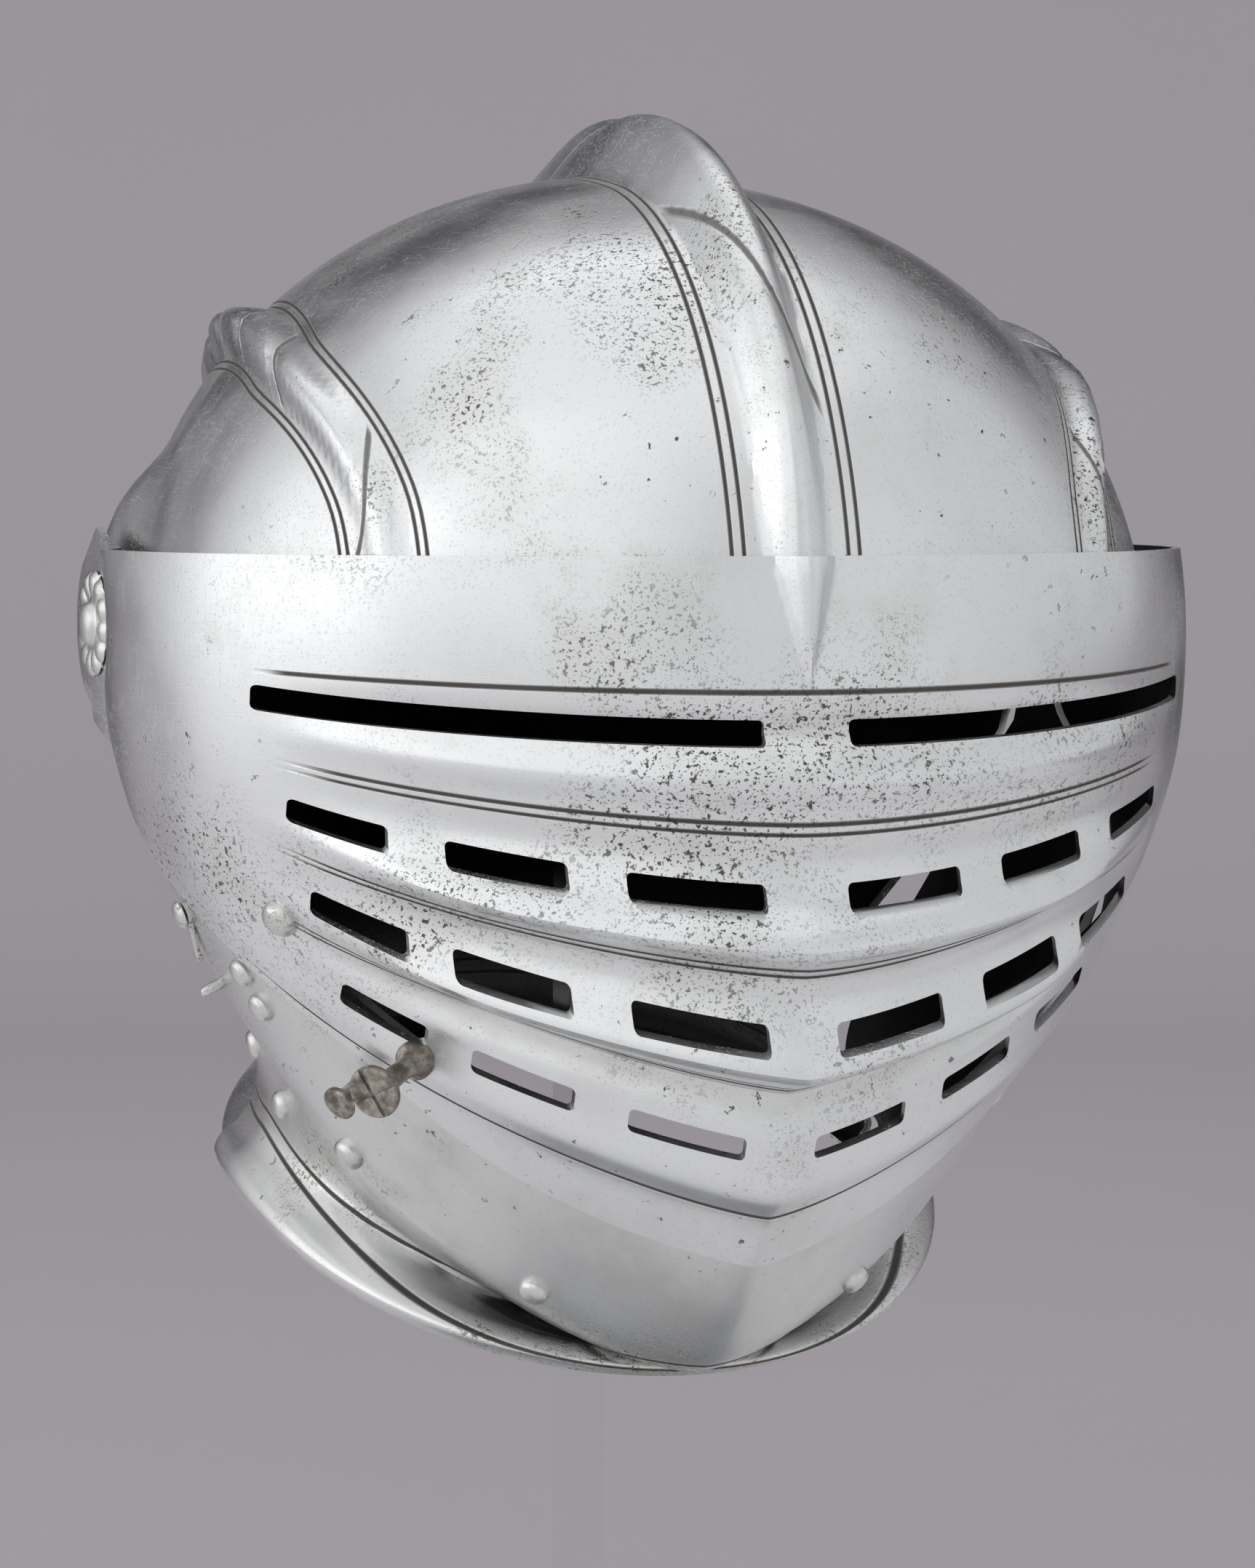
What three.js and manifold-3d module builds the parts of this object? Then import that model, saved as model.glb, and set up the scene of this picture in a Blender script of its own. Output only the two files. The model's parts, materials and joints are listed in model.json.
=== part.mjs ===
// A close helmet with a bellows visor, on a plain clear post stand.
// Millimetres and degrees. +X is the wearer's left, -Y the front, +Z up.
// The helmet is drawn level about the axis of its pivots, then nodded and lifted on to the post.
import * as THREE from 'three';
import Module from 'manifold-3d';
import { mergeVertices } from 'three/addons/utils/BufferGeometryUtils.js';

const wasm = await Module();
wasm.setup();

// Driving dimensions of the steel
const PLATE = 1.6;
const GAP = 0.5;
const VISOR_GAP = 1.4;
const HALF_WIDTH = 111.5;
const FRONT_REACH = 152;
const BROW_ROOM = 3.7;
const SKULL_TOP = 98;
const SKULL_BACK = 108;
const WIDEST_FORWARD = 48;
const BACK_NARROWING = 0.55;
const JAW_NARROWING = 0.13;
const NECK_SET_IN = 43.5;
const NECK_HALF_WIDTH = HALF_WIDTH - NECK_SET_IN;
const NECK_DROP = 104;
const CHIN_DROP = 137;
const BELLOWS_DEPTH = 8;
const COMB_HEIGHT = 14;
const SIDE_COMB_HEIGHT = 7;
const COMB_WIDTH = 20;
const SIDE_COMB_WIDTH = 14;
const STRAND_LENGTH = 70;
const STRAND_GROOVE = 0.16;
const KEEL_HEIGHT = 5;
const SIGHT_HEIGHT = 5;
const SLOT_HEIGHT = 4.7;

// Driving dimensions of the fittings and the stand
const HUB_RADIUS = 17;
const HUB_FLAT = 20.2;
const HUB_BLEND = 18;
const HUB_SET_IN = 12.5;
const SKULL_AT_HUB = HALF_WIDTH - HUB_SET_IN;
const PIVOT_PIN_RADIUS = 3;
const PIVOT_CLEARANCE = 0.3;
const ROSETTE_RADIUS = 11;
const ROSETTE_THICKNESS = 2.2;
const RIVET_RADIUS = 3.2;
const RIVET_HEIGHT = 2.2;
const PEG_LENGTH = 17;
const PEG_HEAD_RADIUS = 5.4;
const BUTTON_LENGTH = 8;
const BUTTON_RADIUS = 3.6;
const HOOK_LENGTH = 14;
const HOOK_WIDTH = 3.2;
const HELMET_PITCH = 9;
const PIVOT_HEIGHT = 270;
const POST_WIDTH = 11;
const POST_TURN = -17.5;
const BASE_WIDTH = 180;
const BASE_THICKNESS = 12;
const BASE_CORNER = 9;

const rad = THREE.MathUtils.degToRad;
const mix = THREE.MathUtils.lerp;
const clamp = THREE.MathUtils.clamp;
const smooth = THREE.MathUtils.smoothstep;

// Middle profile of the front plates, in shares of the front reach: forward, up, point of the section
const FRONT_PROFILE = [
  { angle: -180, reach: 0.50, point: 2.0 },
  { angle: -120, reach: 0.80, point: 1.7 },
  { angle: -90, reach: 0.90, point: 1.9 },
  { angle: -68, reach: 0.955, point: 1.85 },
  { angle: -58, reach: 1.06, point: 1.55 },
  { angle: -52, reach: 1.125, point: 1.42 },
  { angle: -45, reach: 1.125, point: 1.29 },
  { angle: -38, reach: 1.11, point: 1.25 },
  { angle: -30, reach: 1.09, point: 1.27 },
  { angle: -20, reach: 1.075, point: 1.3 },
  { angle: -10, reach: 1.02, point: 1.55 },
  { angle: 0, reach: 0.985, point: 1.72 },
  { angle: 15, reach: 0.955, point: 1.95 },
  { angle: 40, reach: 0.93, point: 2.0 },
  { angle: 90, reach: 0.90, point: 2.0 },
  { angle: 180, reach: 0.80, point: 2.0 },
];

// Ridges and hollows of the visor: angle below the pivot axis, height as a share of the bellows depth
const BELLOWS = [
  { angle: 2.3, rise: -0.30, spread: 1.2 },
  { angle: -1.6, rise: 0.40, spread: 1.7 },
  { angle: -7.2, rise: -0.25, spread: 1.8 },
  { angle: -12.4, rise: 0.85, spread: 1.7 },
  { angle: -16.4, rise: -0.25, spread: 1.5 },
  { angle: -20.8, rise: 0.75, spread: 1.6 },
  { angle: -24.6, rise: -0.55, spread: 1.5 },
  { angle: -31.2, rise: 0.35, spread: 2.0 },
];
const BELLOWS_FULL = 50;
const BELLOWS_GONE = 98;

// Rows of slots: angle of the row, and the inner and outer side places of its three slots
const SLOT_ROWS = [
  { angle: -9.8, slots: [[8.3, 33.9], [44.2, 65.1], [74.4, 90.3]] },
  { angle: -19.2, slots: [[6.9, 31.7], [42.1, 62.1], [69.3, 84.9]] },
  { angle: -28.3, slots: [[7.1, 28.4], [37.9, 55.7], [63.1, 77.4]] },
];
const SIGHT = { angle: 1.9, inner: 8.6, outer: 96.6 };

function tableAt(table, key, angle) {
  let i = 0;
  while (i < table.length - 2 && angle > table[i + 1].angle) i += 1;
  const [a, b] = [table[i], table[i + 1]];
  const before = table[Math.max(i - 1, 0)];
  const after = table[Math.min(i + 2, table.length - 1)];
  const width = b.angle - a.angle;
  const t = clamp((angle - a.angle) / width, 0, 1);
  const slopeA = (b[key] - before[key]) / Math.max(b.angle - before.angle, 1) * width;
  const slopeB = (after[key] - a[key]) / Math.max(after.angle - a.angle, 1) * width;
  const t2 = t * t;
  const t3 = t2 * t;
  return (2 * t3 - 3 * t2 + 1) * a[key] + (t3 - 2 * t2 + t) * slopeA
    + (3 * t2 - 2 * t3) * b[key] + (t3 - t2) * slopeB;
}

// Distance from the pivot centre to a smooth body, along a direction given by two angles
function bodyDistance(body, turn, side) {
  const dx = Math.sin(side);
  const dr = Math.cos(side);
  let low = 20;
  let high = 260;
  for (let i = 0; i < 34; i += 1) {
    const d = (low + high) / 2;
    if (body(d * dx, d * dr * Math.cos(turn), d * dr * Math.sin(turn)) > 0) high = d;
    else low = d;
  }
  return (low + high) / 2;
}

// The front body, outside the visor's plate without its bellows
function frontBody(x, forward, up) {
  const turn = THREE.MathUtils.radToDeg(Math.atan2(up, forward));
  const reach = FRONT_REACH * tableAt(FRONT_PROFILE, 'reach', turn);
  const point = tableAt(FRONT_PROFILE, 'point', turn);
  const widest = WIDEST_FORWARD * Math.cos(rad(turn));
  const side = Math.abs(x) / (HALF_WIDTH * (1 - JAW_NARROWING * smooth(-turn, 5, 85)));
  const m = (Math.hypot(forward, up) - widest) / (reach - widest);
  return side ** point + m * m * (m < 0 ? BACK_NARROWING : 1) - 1;
}

// The visor's lower edge seen from the side, from the hub to the chin
const VISOR_EDGE = [
  { forward: 0, up: -20 }, { forward: 16, up: -24 }, { forward: 38, up: -31 }, { forward: 56, up: -41 },
  { forward: 73, up: -51 }, { forward: 98, up: -69 }, { forward: 110, up: -86 }, { forward: 122, up: -97 },
  { forward: 137, up: -107.5 }, { forward: 230, up: -176 },
];

// The bevor's body: under the visor it is round about the pivots, so that the visor turns over it
function bevorBody(x, forward, up) {
  const reach = Math.hypot(forward, up);
  const turn = Math.atan2(up, forward);
  let i = 0;
  while (i < VISOR_EDGE.length - 2 && reach > Math.hypot(VISOR_EDGE[i + 1].forward, VISOR_EDGE[i + 1].up)) i += 1;
  const [a, b] = [VISOR_EDGE[i], VISOR_EDGE[i + 1]];
  const near = Math.hypot(a.forward, a.up);
  const share = clamp((reach - near) / (Math.hypot(b.forward, b.up) - near), 0, 1);
  const edge = mix(Math.atan2(a.up, a.forward), Math.atan2(b.up, b.forward), share);
  const own = frontBody(x, forward, up);
  if (turn <= edge || forward < 0) return own;
  return Math.max(own, frontBody(x, reach * Math.cos(edge), reach * Math.sin(edge)));
}

// The skull's body, outside its plate without the combs
const SKULL_INSET = 2 * PLATE + GAP + VISOR_GAP + BROW_ROOM;
function skullBody(x, forward, up) {
  const front = FRONT_REACH * 0.955 - PLATE - GAP - WIDEST_FORWARD;
  const back = SKULL_BACK + WIDEST_FORWARD;
  const f = (forward - WIDEST_FORWARD) / (forward > WIDEST_FORWARD ? front : back);
  const u = up / SKULL_TOP;
  return (Math.abs(x) / (HALF_WIDTH - SKULL_INSET)) ** 2 + f * f + u * u - 1;
}

function bellowsRise(turnDegrees, x) {
  const fade = 1 - smooth(Math.abs(x), BELLOWS_FULL, BELLOWS_GONE);
  let rise = 0;
  for (const row of BELLOWS) rise += row.rise * Math.exp(-(((turnDegrees - row.angle) / row.spread) ** 2));
  return BELLOWS_DEPTH * rise * fade;
}

function keelRise(turnDegrees, x) {
  const half = 5.5 * clamp((turnDegrees - 5) / 9, 0.02, 1.2);
  return KEEL_HEIGHT * clamp((turnDegrees - 5) / 9, 0, 1) * Math.max(0, 1 - (x / half) ** 2);
}

const SIDE_COMB_PATH = [
  { angle: -10, side: 30, rise: 0.1 },
  { angle: 10, side: 33, rise: 0.1 },
  { angle: 24, side: 35, rise: 0.5 },
  { angle: 53, side: 46, rise: 0.95 },
  { angle: 95, side: 51, rise: 1 },
  { angle: 140, side: 45, rise: 0.75 },
  { angle: 195, side: 33, rise: 0.1 },
];
const COMB_PATH = [
  { angle: 3, side: 0, rise: 0 },
  { angle: 18, side: 0, rise: 0.33 },
  { angle: 34, side: 0, rise: 0.55 },
  { angle: 55, side: 0, rise: 0.90 },
  { angle: 75, side: 0, rise: 1 },
  { angle: 92, side: 0, rise: 0.85 },
  { angle: 112, side: 0, rise: 0.5 },
  { angle: 150, side: 0, rise: 0.35 },
  { angle: 200, side: 0, rise: 0.08 },
];

function combRise(path, height, width, turnDegrees, across, along) {
  if (turnDegrees > path.at(-1).angle || turnDegrees < path[0].angle) return 0;
  const size = clamp(tableAt(path, 'rise', turnDegrees), 0, 1);
  const half = width / 2 * mix(0.55, 1, size);
  const t = across / half;
  if (Math.abs(t) >= 1) return 0;
  const strand = Math.abs(Math.sin(Math.PI * (along / STRAND_LENGTH + 0.35 * t)));
  const groove = STRAND_GROOVE * (1 - strand) ** 4;
  return height * size * (1 - groove) * Math.cos(Math.PI / 2 * t) ** 1.2;
}

// Every plate lies flat and square round the pivot pin
const BEVOR_AT_HUB = SKULL_AT_HUB + GAP + PLATE;
const VISOR_AT_HUB = BEVOR_AT_HUB + VISOR_GAP + PLATE;
function flattenHub(point, hubX) {
  const r = Math.hypot(point.y, point.z);
  const away = smooth(r, HUB_FLAT, HUB_FLAT + HUB_BLEND);
  point.x = mix(Math.sign(point.x) * hubX, point.x, away);
  return point;
}

function pointAt(distance, turn, side) {
  const r = distance * Math.cos(side);
  return new THREE.Vector3(distance * Math.sin(side), -r * Math.cos(turn), r * Math.sin(turn));
}

// Named surfaces: each gives the outer point for two angles in degrees
function visorPoint(turnDegrees, sideDegrees) {
  const [turn, side] = [rad(turnDegrees), rad(sideDegrees)];
  const d = bodyDistance(frontBody, turn, side);
  const x = d * Math.sin(side);
  const point = pointAt(d + bellowsRise(turnDegrees, x) + keelRise(turnDegrees, x), turn, side);
  return flattenHub(point, VISOR_AT_HUB);
}

function bevorPoint(turnDegrees, sideDegrees) {
  const [turn, side] = [rad(turnDegrees), rad(sideDegrees)];
  return flattenHub(pointAt(bodyDistance(bevorBody, turn, side), turn, side), VISOR_AT_HUB);
}

function skullPoint(turnDegrees, sideDegrees) {
  const [turn, side] = [rad(turnDegrees), rad(sideDegrees)];
  const d = bodyDistance(skullBody, turn, side);
  const along = rad(turnDegrees) * SKULL_TOP;
  let rise = combRise(COMB_PATH, COMB_HEIGHT, COMB_WIDTH, turnDegrees, d * Math.sin(side), along);
  const path = tableAt(SIDE_COMB_PATH, 'side', turnDegrees);
  const across = d * rad(Math.abs(sideDegrees) - path);
  rise += combRise(SIDE_COMB_PATH, SIDE_COMB_HEIGHT, SIDE_COMB_WIDTH, turnDegrees, across, along * 0.8);
  return flattenHub(pointAt(d + rise, turn, side), SKULL_AT_HUB);
}

const COMB_HOLLOW = 0.62;
function skullInside(turnDegrees, sideDegrees) {
  const plain = bodyDistance(skullBody, rad(turnDegrees), rad(sideDegrees));
  const full = skullPoint(turnDegrees, sideDegrees);
  const point = pointAt(plain, rad(turnDegrees), rad(sideDegrees));
  return flattenHub(point.lerp(full, COMB_HOLLOW), SKULL_AT_HUB);
}

function solidFrom(vertices, triangles) {
  const make = (order) => {
    const mesh = new wasm.Mesh({
      numProp: 3,
      vertProperties: new Float32Array(vertices),
      triVerts: new Uint32Array(order),
    });
    mesh.merge();
    return new wasm.Manifold(mesh);
  };
  const solid = make(triangles);
  return solid.volume() > 0 ? solid : make(Array.from(triangles).reverse());
}

function solidOf(geometry) {
  const bare = geometry.clone();
  bare.deleteAttribute('normal');
  bare.deleteAttribute('uv');
  const merged = mergeVertices(bare, 1e-4);
  return solidFrom(merged.attributes.position.array, merged.index.array);
}

// A closed skin over all turns and sides, drawn in by a depth along its own normal
function closedSkin(surface, turns, sides, depth) {
  const columns = turns.length;
  const vertices = [];
  const step = 0.8;
  for (let i = 0; i < sides(0).length; i += 1) {
    for (const turn of turns) {
      const side = sides(turn)[i];
      const p = surface(turn, side);
      if (depth > 0) {
        const along = surface(turn + step, side).sub(surface(turn - step, side));
        const across = surface(turn, side + step).sub(surface(turn, side - step));
        const normal = across.cross(along).normalize();
        if (normal.dot(p) < 0) normal.negate();
        p.addScaledVector(normal, -depth);
      }
      vertices.push(p.x, p.y, p.z);
    }
  }
  const poles = [surface(0, -90), surface(0, 90)];
  for (const [i, p] of poles.entries()) {
    p.x += (i === 0 ? 1 : -1) * depth;
    vertices.push(p.x, p.y, p.z);
  }
  const triangles = [];
  const at = (row, column) => row * columns + (column % columns);
  const rows = sides(0).length;
  const [left, right] = [rows * columns, rows * columns + 1];
  for (let column = 0; column < columns; column += 1) {
    triangles.push(left, at(0, column), at(0, column + 1));
    triangles.push(right, at(rows - 1, column + 1), at(rows - 1, column));
    for (let row = 0; row < rows - 1; row += 1) {
      triangles.push(at(row, column), at(row + 1, column), at(row + 1, column + 1));
      triangles.push(at(row, column), at(row + 1, column + 1), at(row, column + 1));
    }
  }
  return solidFrom(vertices, triangles);
}

// A prism across the helmet, from an outline seen from the side: forward, up
function sidePrism(outline) {
  const shape = new THREE.Shape(outline.map(([forward, up]) => new THREE.Vector2(forward, up)));
  const width = 4 * HALF_WIDTH;
  const geometry = new THREE.ExtrudeGeometry(shape, { depth: width, bevelEnabled: false });
  // shape x -> -Y, shape y -> Z, depth -> X
  const place = new THREE.Matrix4().set(0, 0, 1, -width / 2, -1, 0, 0, 0, 0, 1, 0, 0, 0, 0, 0, 1);
  geometry.applyMatrix4(place);
  return solidOf(geometry);
}

function boxSolid(width, length, height, matrix) {
  const geometry = new THREE.BoxGeometry(width, length, height);
  geometry.applyMatrix4(matrix);
  return solidOf(geometry);
}

const range = (from, to, count) => Array.from({ length: count + 1 }, (_, i) => from + (to - from) * i / count);

// Where the plates end, seen from the side
const hubArc = (radius, from, to, count) =>
  range(from, to, count).map((a) => [radius * Math.cos(rad(a)), radius * Math.sin(rad(a))]);
const FAR = 230;
const VISOR_TOP = 16;
const VISOR_RISE = 0.158;
const VISOR_OUTLINE = [
  [-2, VISOR_TOP + 4], [8, VISOR_TOP + 1.5], [20, VISOR_TOP + 20 * VISOR_RISE],
  [FAR, VISOR_TOP + FAR * VISOR_RISE], ...VISOR_EDGE.map((row) => [row.forward, row.up]).reverse(),
  ...hubArc(HUB_RADIUS, 245, 150, 5),
];
const BEVOR_OUTLINE = [
  ...hubArc(HUB_RADIUS - 1, 265, 200, 3), ...hubArc(HUB_RADIUS - 2, 180, 20, 8), [20, -10], [38, -22], [56, -31],
  [75, -41], [98, -56], [118, -76], [137, -92], [FAR, -150], [FAR, -FAR], [1, -FAR], [1, -18],
];
const CHEEK_OUTLINE = [[-40, -44], [40, -44], [40, -62], [FAR, -62], [FAR, 60], [-40, 60]];
const SKULL_OUTLINE = [
  ...hubArc(HUB_RADIUS, 266, 392, 7), [60, 14], [FAR, 24], [FAR, FAR], [-FAR, FAR], [-FAR, -FAR],
  [-1, -FAR], [-1, -18],
];

// The neck below the skull and the bevor, as rings: heights at the side, front and back,
// shares of the neck's drop and half width, and how far each ring has left the plate above
const NECK_RINGS = [
  { side: -0.02, front: -0.28, back: -0.10, width: 1.4, leave: 0, chin: 0 },
  { side: -0.18, front: -0.50, back: -0.22, width: 1.35, leave: 0, chin: 0 },
  { side: -0.34, front: -0.74, back: -0.34, width: 1.25, leave: 0, chin: 0 },
  { side: -0.50, front: -0.95, back: -0.46, width: 1.15, leave: 0.10, chin: 0 },
  { side: -0.64, front: -1.11, back: -0.56, width: 1.08, leave: 0.38, chin: 0 },
  { side: -0.76, front: -1.22, back: -0.65, width: 1.03, leave: 0.68, chin: 0.0 },
  { side: -0.86, front: -1.29, back: -0.73, width: 1.0, leave: 0.90, chin: 0.04 },
  { side: -0.93, front: -1.315, back: -0.79, width: 0.99, leave: 1, chin: 0.45 },
  { side: -0.985, front: -1.29, back: -0.845, width: 1.0, leave: 1, chin: 1 },
  { side: -1.03, front: -1.275, back: -0.89, width: 1.04, leave: 1, chin: 1 },
  { side: -1.06, front: -1.283, back: -0.925, width: 1.095, leave: 1, chin: 1 },
  { side: -1.095, front: -1.295, back: -0.96, width: 1.115, leave: 1, chin: 1 },
  { side: -1.13, front: -1.31, back: -0.995, width: 1.085, leave: 1, chin: 1 },
  { side: -1.15, front: -1.325, back: -1.015, width: 1.045, leave: 1, chin: 1 },
];
const NECK_FORWARD = 14;
const NECK_FRONT_REACH = 76;
const NECK_BACK_REACH = 74;

const LAP = 0.25;

// Distance out from the neck's upright axis to a body, at one height and plan angle
function planDistance(body, plan, up) {
  let low = 5;
  let high = 240;
  for (let i = 0; i < 34; i += 1) {
    const d = (low + high) / 2;
    if (body(d * Math.sin(plan), NECK_FORWARD + d * Math.cos(plan), up) > 0) high = d;
    else low = d;
  }
  return (low + high) / 2;
}

function neckPoint(body, inset, ring, planDegrees) {
  const plan = rad(planDegrees);
  const c = Math.cos(plan);
  const end = c > 0 ? ring.front : ring.back;
  const up = NECK_DROP * mix(ring.side, end, Math.abs(c) ** 1.3);
  const reach = (c > 0 ? NECK_FRONT_REACH : NECK_BACK_REACH) * ring.width;
  const under = body === skullBody ? PLATE + GAP : 0;
  const oval = 1 / Math.hypot(c / reach, Math.sin(plan) / (NECK_HALF_WIDTH * ring.width)) - under;
  const frontness = smooth(c, 0.15, 0.92);
  const leave = c > 0 ? mix(ring.leave, ring.chin, frontness) : ring.leave;
  const plate = leave < 1 ? planDistance(body, plan, Math.max(up, -CHIN_DROP)) : 0;
  const out = mix(plate - inset, oval, leave);
  const point = new THREE.Vector3(out * Math.sin(plan), -NECK_FORWARD - out * c, up);
  return body === skullBody ? flattenHub(point, SKULL_AT_HUB - LAP) : point;
}

// A sleeve of plate through the rings, its inner skin one plate inside the outer one
function neckSleeve(body, inset, plans) {
  const vertices = [];
  const rows = NECK_RINGS.length;
  const columns = plans.length;
  for (const depth of [0, PLATE]) {
    for (const [row, ring] of NECK_RINGS.entries()) {
      for (const plan of plans) {
        const p = neckPoint(body, inset, ring, plan);
        const above = neckPoint(body, inset, NECK_RINGS[Math.max(row - 1, 0)], plan);
        const below = neckPoint(body, inset, NECK_RINGS[Math.min(row + 1, rows - 1)], plan);
        const left = neckPoint(body, inset, ring, plan - 3);
        const right = neckPoint(body, inset, ring, plan + 3);
        const normal = right.sub(left).cross(above.sub(below)).normalize();
        const outward = new THREE.Vector3(p.x, p.y + NECK_FORWARD, 0);
        if (normal.dot(outward) < 0) normal.negate();
        p.addScaledVector(normal, -depth);
        vertices.push(p.x, p.y, p.z);
      }
    }
  }
  const at = (skin, row, column) => (skin * rows + row) * columns + (column % columns);
  const triangles = [];
  const quad = (a, b, c, d) => triangles.push(a, b, c, a, c, d);
  for (let column = 0; column < columns; column += 1) {
    const next = column + 1;
    for (let row = 0; row < rows - 1; row += 1) {
      quad(at(0, row, column), at(0, row + 1, column), at(0, row + 1, next), at(0, row, next));
      quad(at(1, row, next), at(1, row + 1, next), at(1, row + 1, column), at(1, row, column));
    }
    quad(at(0, 0, column), at(0, 0, next), at(1, 0, next), at(1, 0, column));
    const last = rows - 1;
    quad(at(0, last, next), at(0, last, column), at(1, last, column), at(1, last, next));
  }
  return solidFrom(vertices, triangles);
}

function geometryOf(solid) {
  const mesh = solid.getMesh();
  const geometry = new THREE.BufferGeometry();
  geometry.setAttribute('position', new THREE.BufferAttribute(new Float32Array(mesh.vertProperties), 3));
  geometry.setIndex(new THREE.BufferAttribute(new Uint32Array(mesh.triVerts), 1));
  return geometry;
}

const STEEL = { color: 0xb9bdbd, roughness: 0.3, metalness: 1 };
const RIVET_STEEL = { color: 0xaeb0aa, roughness: 0.4, metalness: 1 };
const BROWNED = { color: 0x77695a, roughness: 0.6, metalness: 1 };
const CLEAR = { color: 0xe8ecf0, roughness: 0.08, metalness: 0, transparent: true, opacity: 0.4 };

function named(name, geometry, finish) {
  const mesh = new THREE.Mesh(geometry, new THREE.MeshStandardMaterial(finish));
  mesh.name = name;
  return mesh;
}

const symmetric = (places) => [...places.slice().reverse().map((a) => -a), 0, ...places];
const HUB_SIDES = [69, 79];
const visorSides = () => symmetric([1.2, 2.2, 7, 13, 20, 27, 34, 42, 51, 60, ...HUB_SIDES]);
const plainSides = () => symmetric([2.2, 13, 23, 34, 47, 60, HUB_SIDES[0], 74.5, HUB_SIDES[1]]);

// Columns gather on the middle comb and follow the side combs
function skullSides(turn) {
  const path = tableAt(SIDE_COMB_PATH, 'side', clamp(turn, -10, 195));
  const comb = [-4.5, -2.3, 0, 2.3, 4.5].map((offset) => path + offset);
  return symmetric([2, 4.2, 6.4, ...[0.33, 0.66].map((t) => mix(6.4, comb[0], t)), ...comb,
    mix(comb.at(-1), HUB_SIDES[0], 0.5), ...HUB_SIDES]);
}
function innerSides(turn) {
  const path = tableAt(SIDE_COMB_PATH, 'side', clamp(turn, -10, 195));
  return symmetric([2.5, 6, path / 2, path - 4, path, path + 4, ...HUB_SIDES]);
}

function slotCutter(angle, inner, outer, height) {
  const depth = 130;
  const turn = new THREE.Matrix4().makeRotationX(rad(-angle));
  const place = new THREE.Matrix4().makeTranslation((inner + outer) / 2, -60 - depth / 2, 0);
  return boxSolid(Math.abs(outer - inner), depth, height, turn.multiply(place));
}

function pivotBore() {
  const radius = PIVOT_PIN_RADIUS + PIVOT_CLEARANCE;
  const geometry = new THREE.CylinderGeometry(radius, radius, 4 * HALF_WIDTH, 16);
  geometry.rotateZ(Math.PI / 2);
  return solidOf(geometry);
}

function visorShell() {
  const ridges = BELLOWS.map((row) => row.angle);
  const turns = [...range(-180, -75, 3), -58, -46, -39, -35, ...ridges.slice().reverse(),
    -28, -22.8, -18.6, -14.4, -9.8, -4.4, 0.4, 5, 9, 14, 19, 28, 45, 75, 110, 145];
  turns.sort((a, b) => a - b);
  const outer = closedSkin(visorPoint, turns, visorSides, 0);
  const inner = closedSkin(visorPoint, turns, plainSides, PLATE);
  return outer.subtract(inner).intersect(sidePrism(VISOR_OUTLINE)).subtract(pivotBore());
}

function withSlots(shell) {
  let solid = shell;
  for (const hand of [-1, 1]) {
    solid = solid.subtract(slotCutter(SIGHT.angle, hand * SIGHT.inner, hand * SIGHT.outer, SIGHT_HEIGHT));
    for (const row of SLOT_ROWS) {
      for (const [near, far] of row.slots) {
        solid = solid.subtract(slotCutter(row.angle, hand * near, hand * far, SLOT_HEIGHT));
      }
    }
  }
  return solid;
}

function makeSkull() {
  const turns = [...range(-170, -20, 5), ...range(0, 184, 23)];
  const inside = [...range(-170, -20, 5), ...range(0, 180, 16)];
  const shell = closedSkin(skullPoint, turns, skullSides, 0)
    .subtract(closedSkin(skullInside, inside, innerSides, PLATE));
  const upper = shell.intersect(sidePrism([[FAR, -23], [FAR, FAR], [-FAR, FAR], [-FAR, -23]]));
  const sleeve = neckSleeve(skullBody, LAP, range(0, 348, 29))
    .intersect(sidePrism([[-FAR, -20], [-FAR, -FAR], [FAR, -FAR], [FAR, -20]]));
  return upper.add(sleeve).intersect(sidePrism(SKULL_OUTLINE)).subtract(pivotBore());
}

function makeBevor() {
  const turns = [...range(-180, -75, 3), -58, -49, -42, -36, -30, -24, -16, -6, 8, 25, ...range(60, 145, 3)];
  const outside = PLATE + VISOR_GAP;
  const cheeks = closedSkin(bevorPoint, turns, plainSides, outside)
    .subtract(closedSkin(bevorPoint, turns, plainSides, outside + PLATE))
    .intersect(sidePrism(CHEEK_OUTLINE));
  const sleeve = neckSleeve(bevorBody, outside + LAP, range(0, 348, 29))
    .intersect(sidePrism([[-40, -FAR], [FAR, -FAR], [FAR, -52], [40, -52], [40, -36], [-40, -36]]));
  return cheeks.add(sleeve).intersect(sidePrism(BEVOR_OUTLINE)).subtract(pivotBore());
}

// Where a straight line across the helmet meets the outside of a plate
const caster = new THREE.Raycaster();
function seatOn(geometry, hand, forward, up) {
  const plate = new THREE.Mesh(geometry);
  caster.set(new THREE.Vector3(hand * 3 * HALF_WIDTH, -forward, up), new THREE.Vector3(-hand, 0, 0));
  const hit = caster.intersectObject(plate)[0];
  return { point: hit.point, normal: hit.face.normal.clone() };
}

function lathed(profile, segments) {
  return new THREE.LatheGeometry(profile.map(([r, y]) => new THREE.Vector2(r, y)), segments);
}

const SEAT_GAP = 0.3;
const UP = new THREE.Vector3(0, 1, 0);
function placedOn(mesh, seat, lift) {
  mesh.quaternion.setFromUnitVectors(UP, seat.normal);
  mesh.position.copy(seat.point).addScaledVector(seat.normal, lift);
  return mesh;
}

const domed = (radius, height) => [[0, 0], [radius, 0], [radius * 0.94, height * 0.4],
  [radius * 0.66, height * 0.82], [0, height]];

const skull = geometryOf(makeSkull());
const solidVisor = visorShell();
const uncutVisor = geometryOf(solidVisor);
const visor = geometryOf(withSlots(solidVisor));

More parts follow.
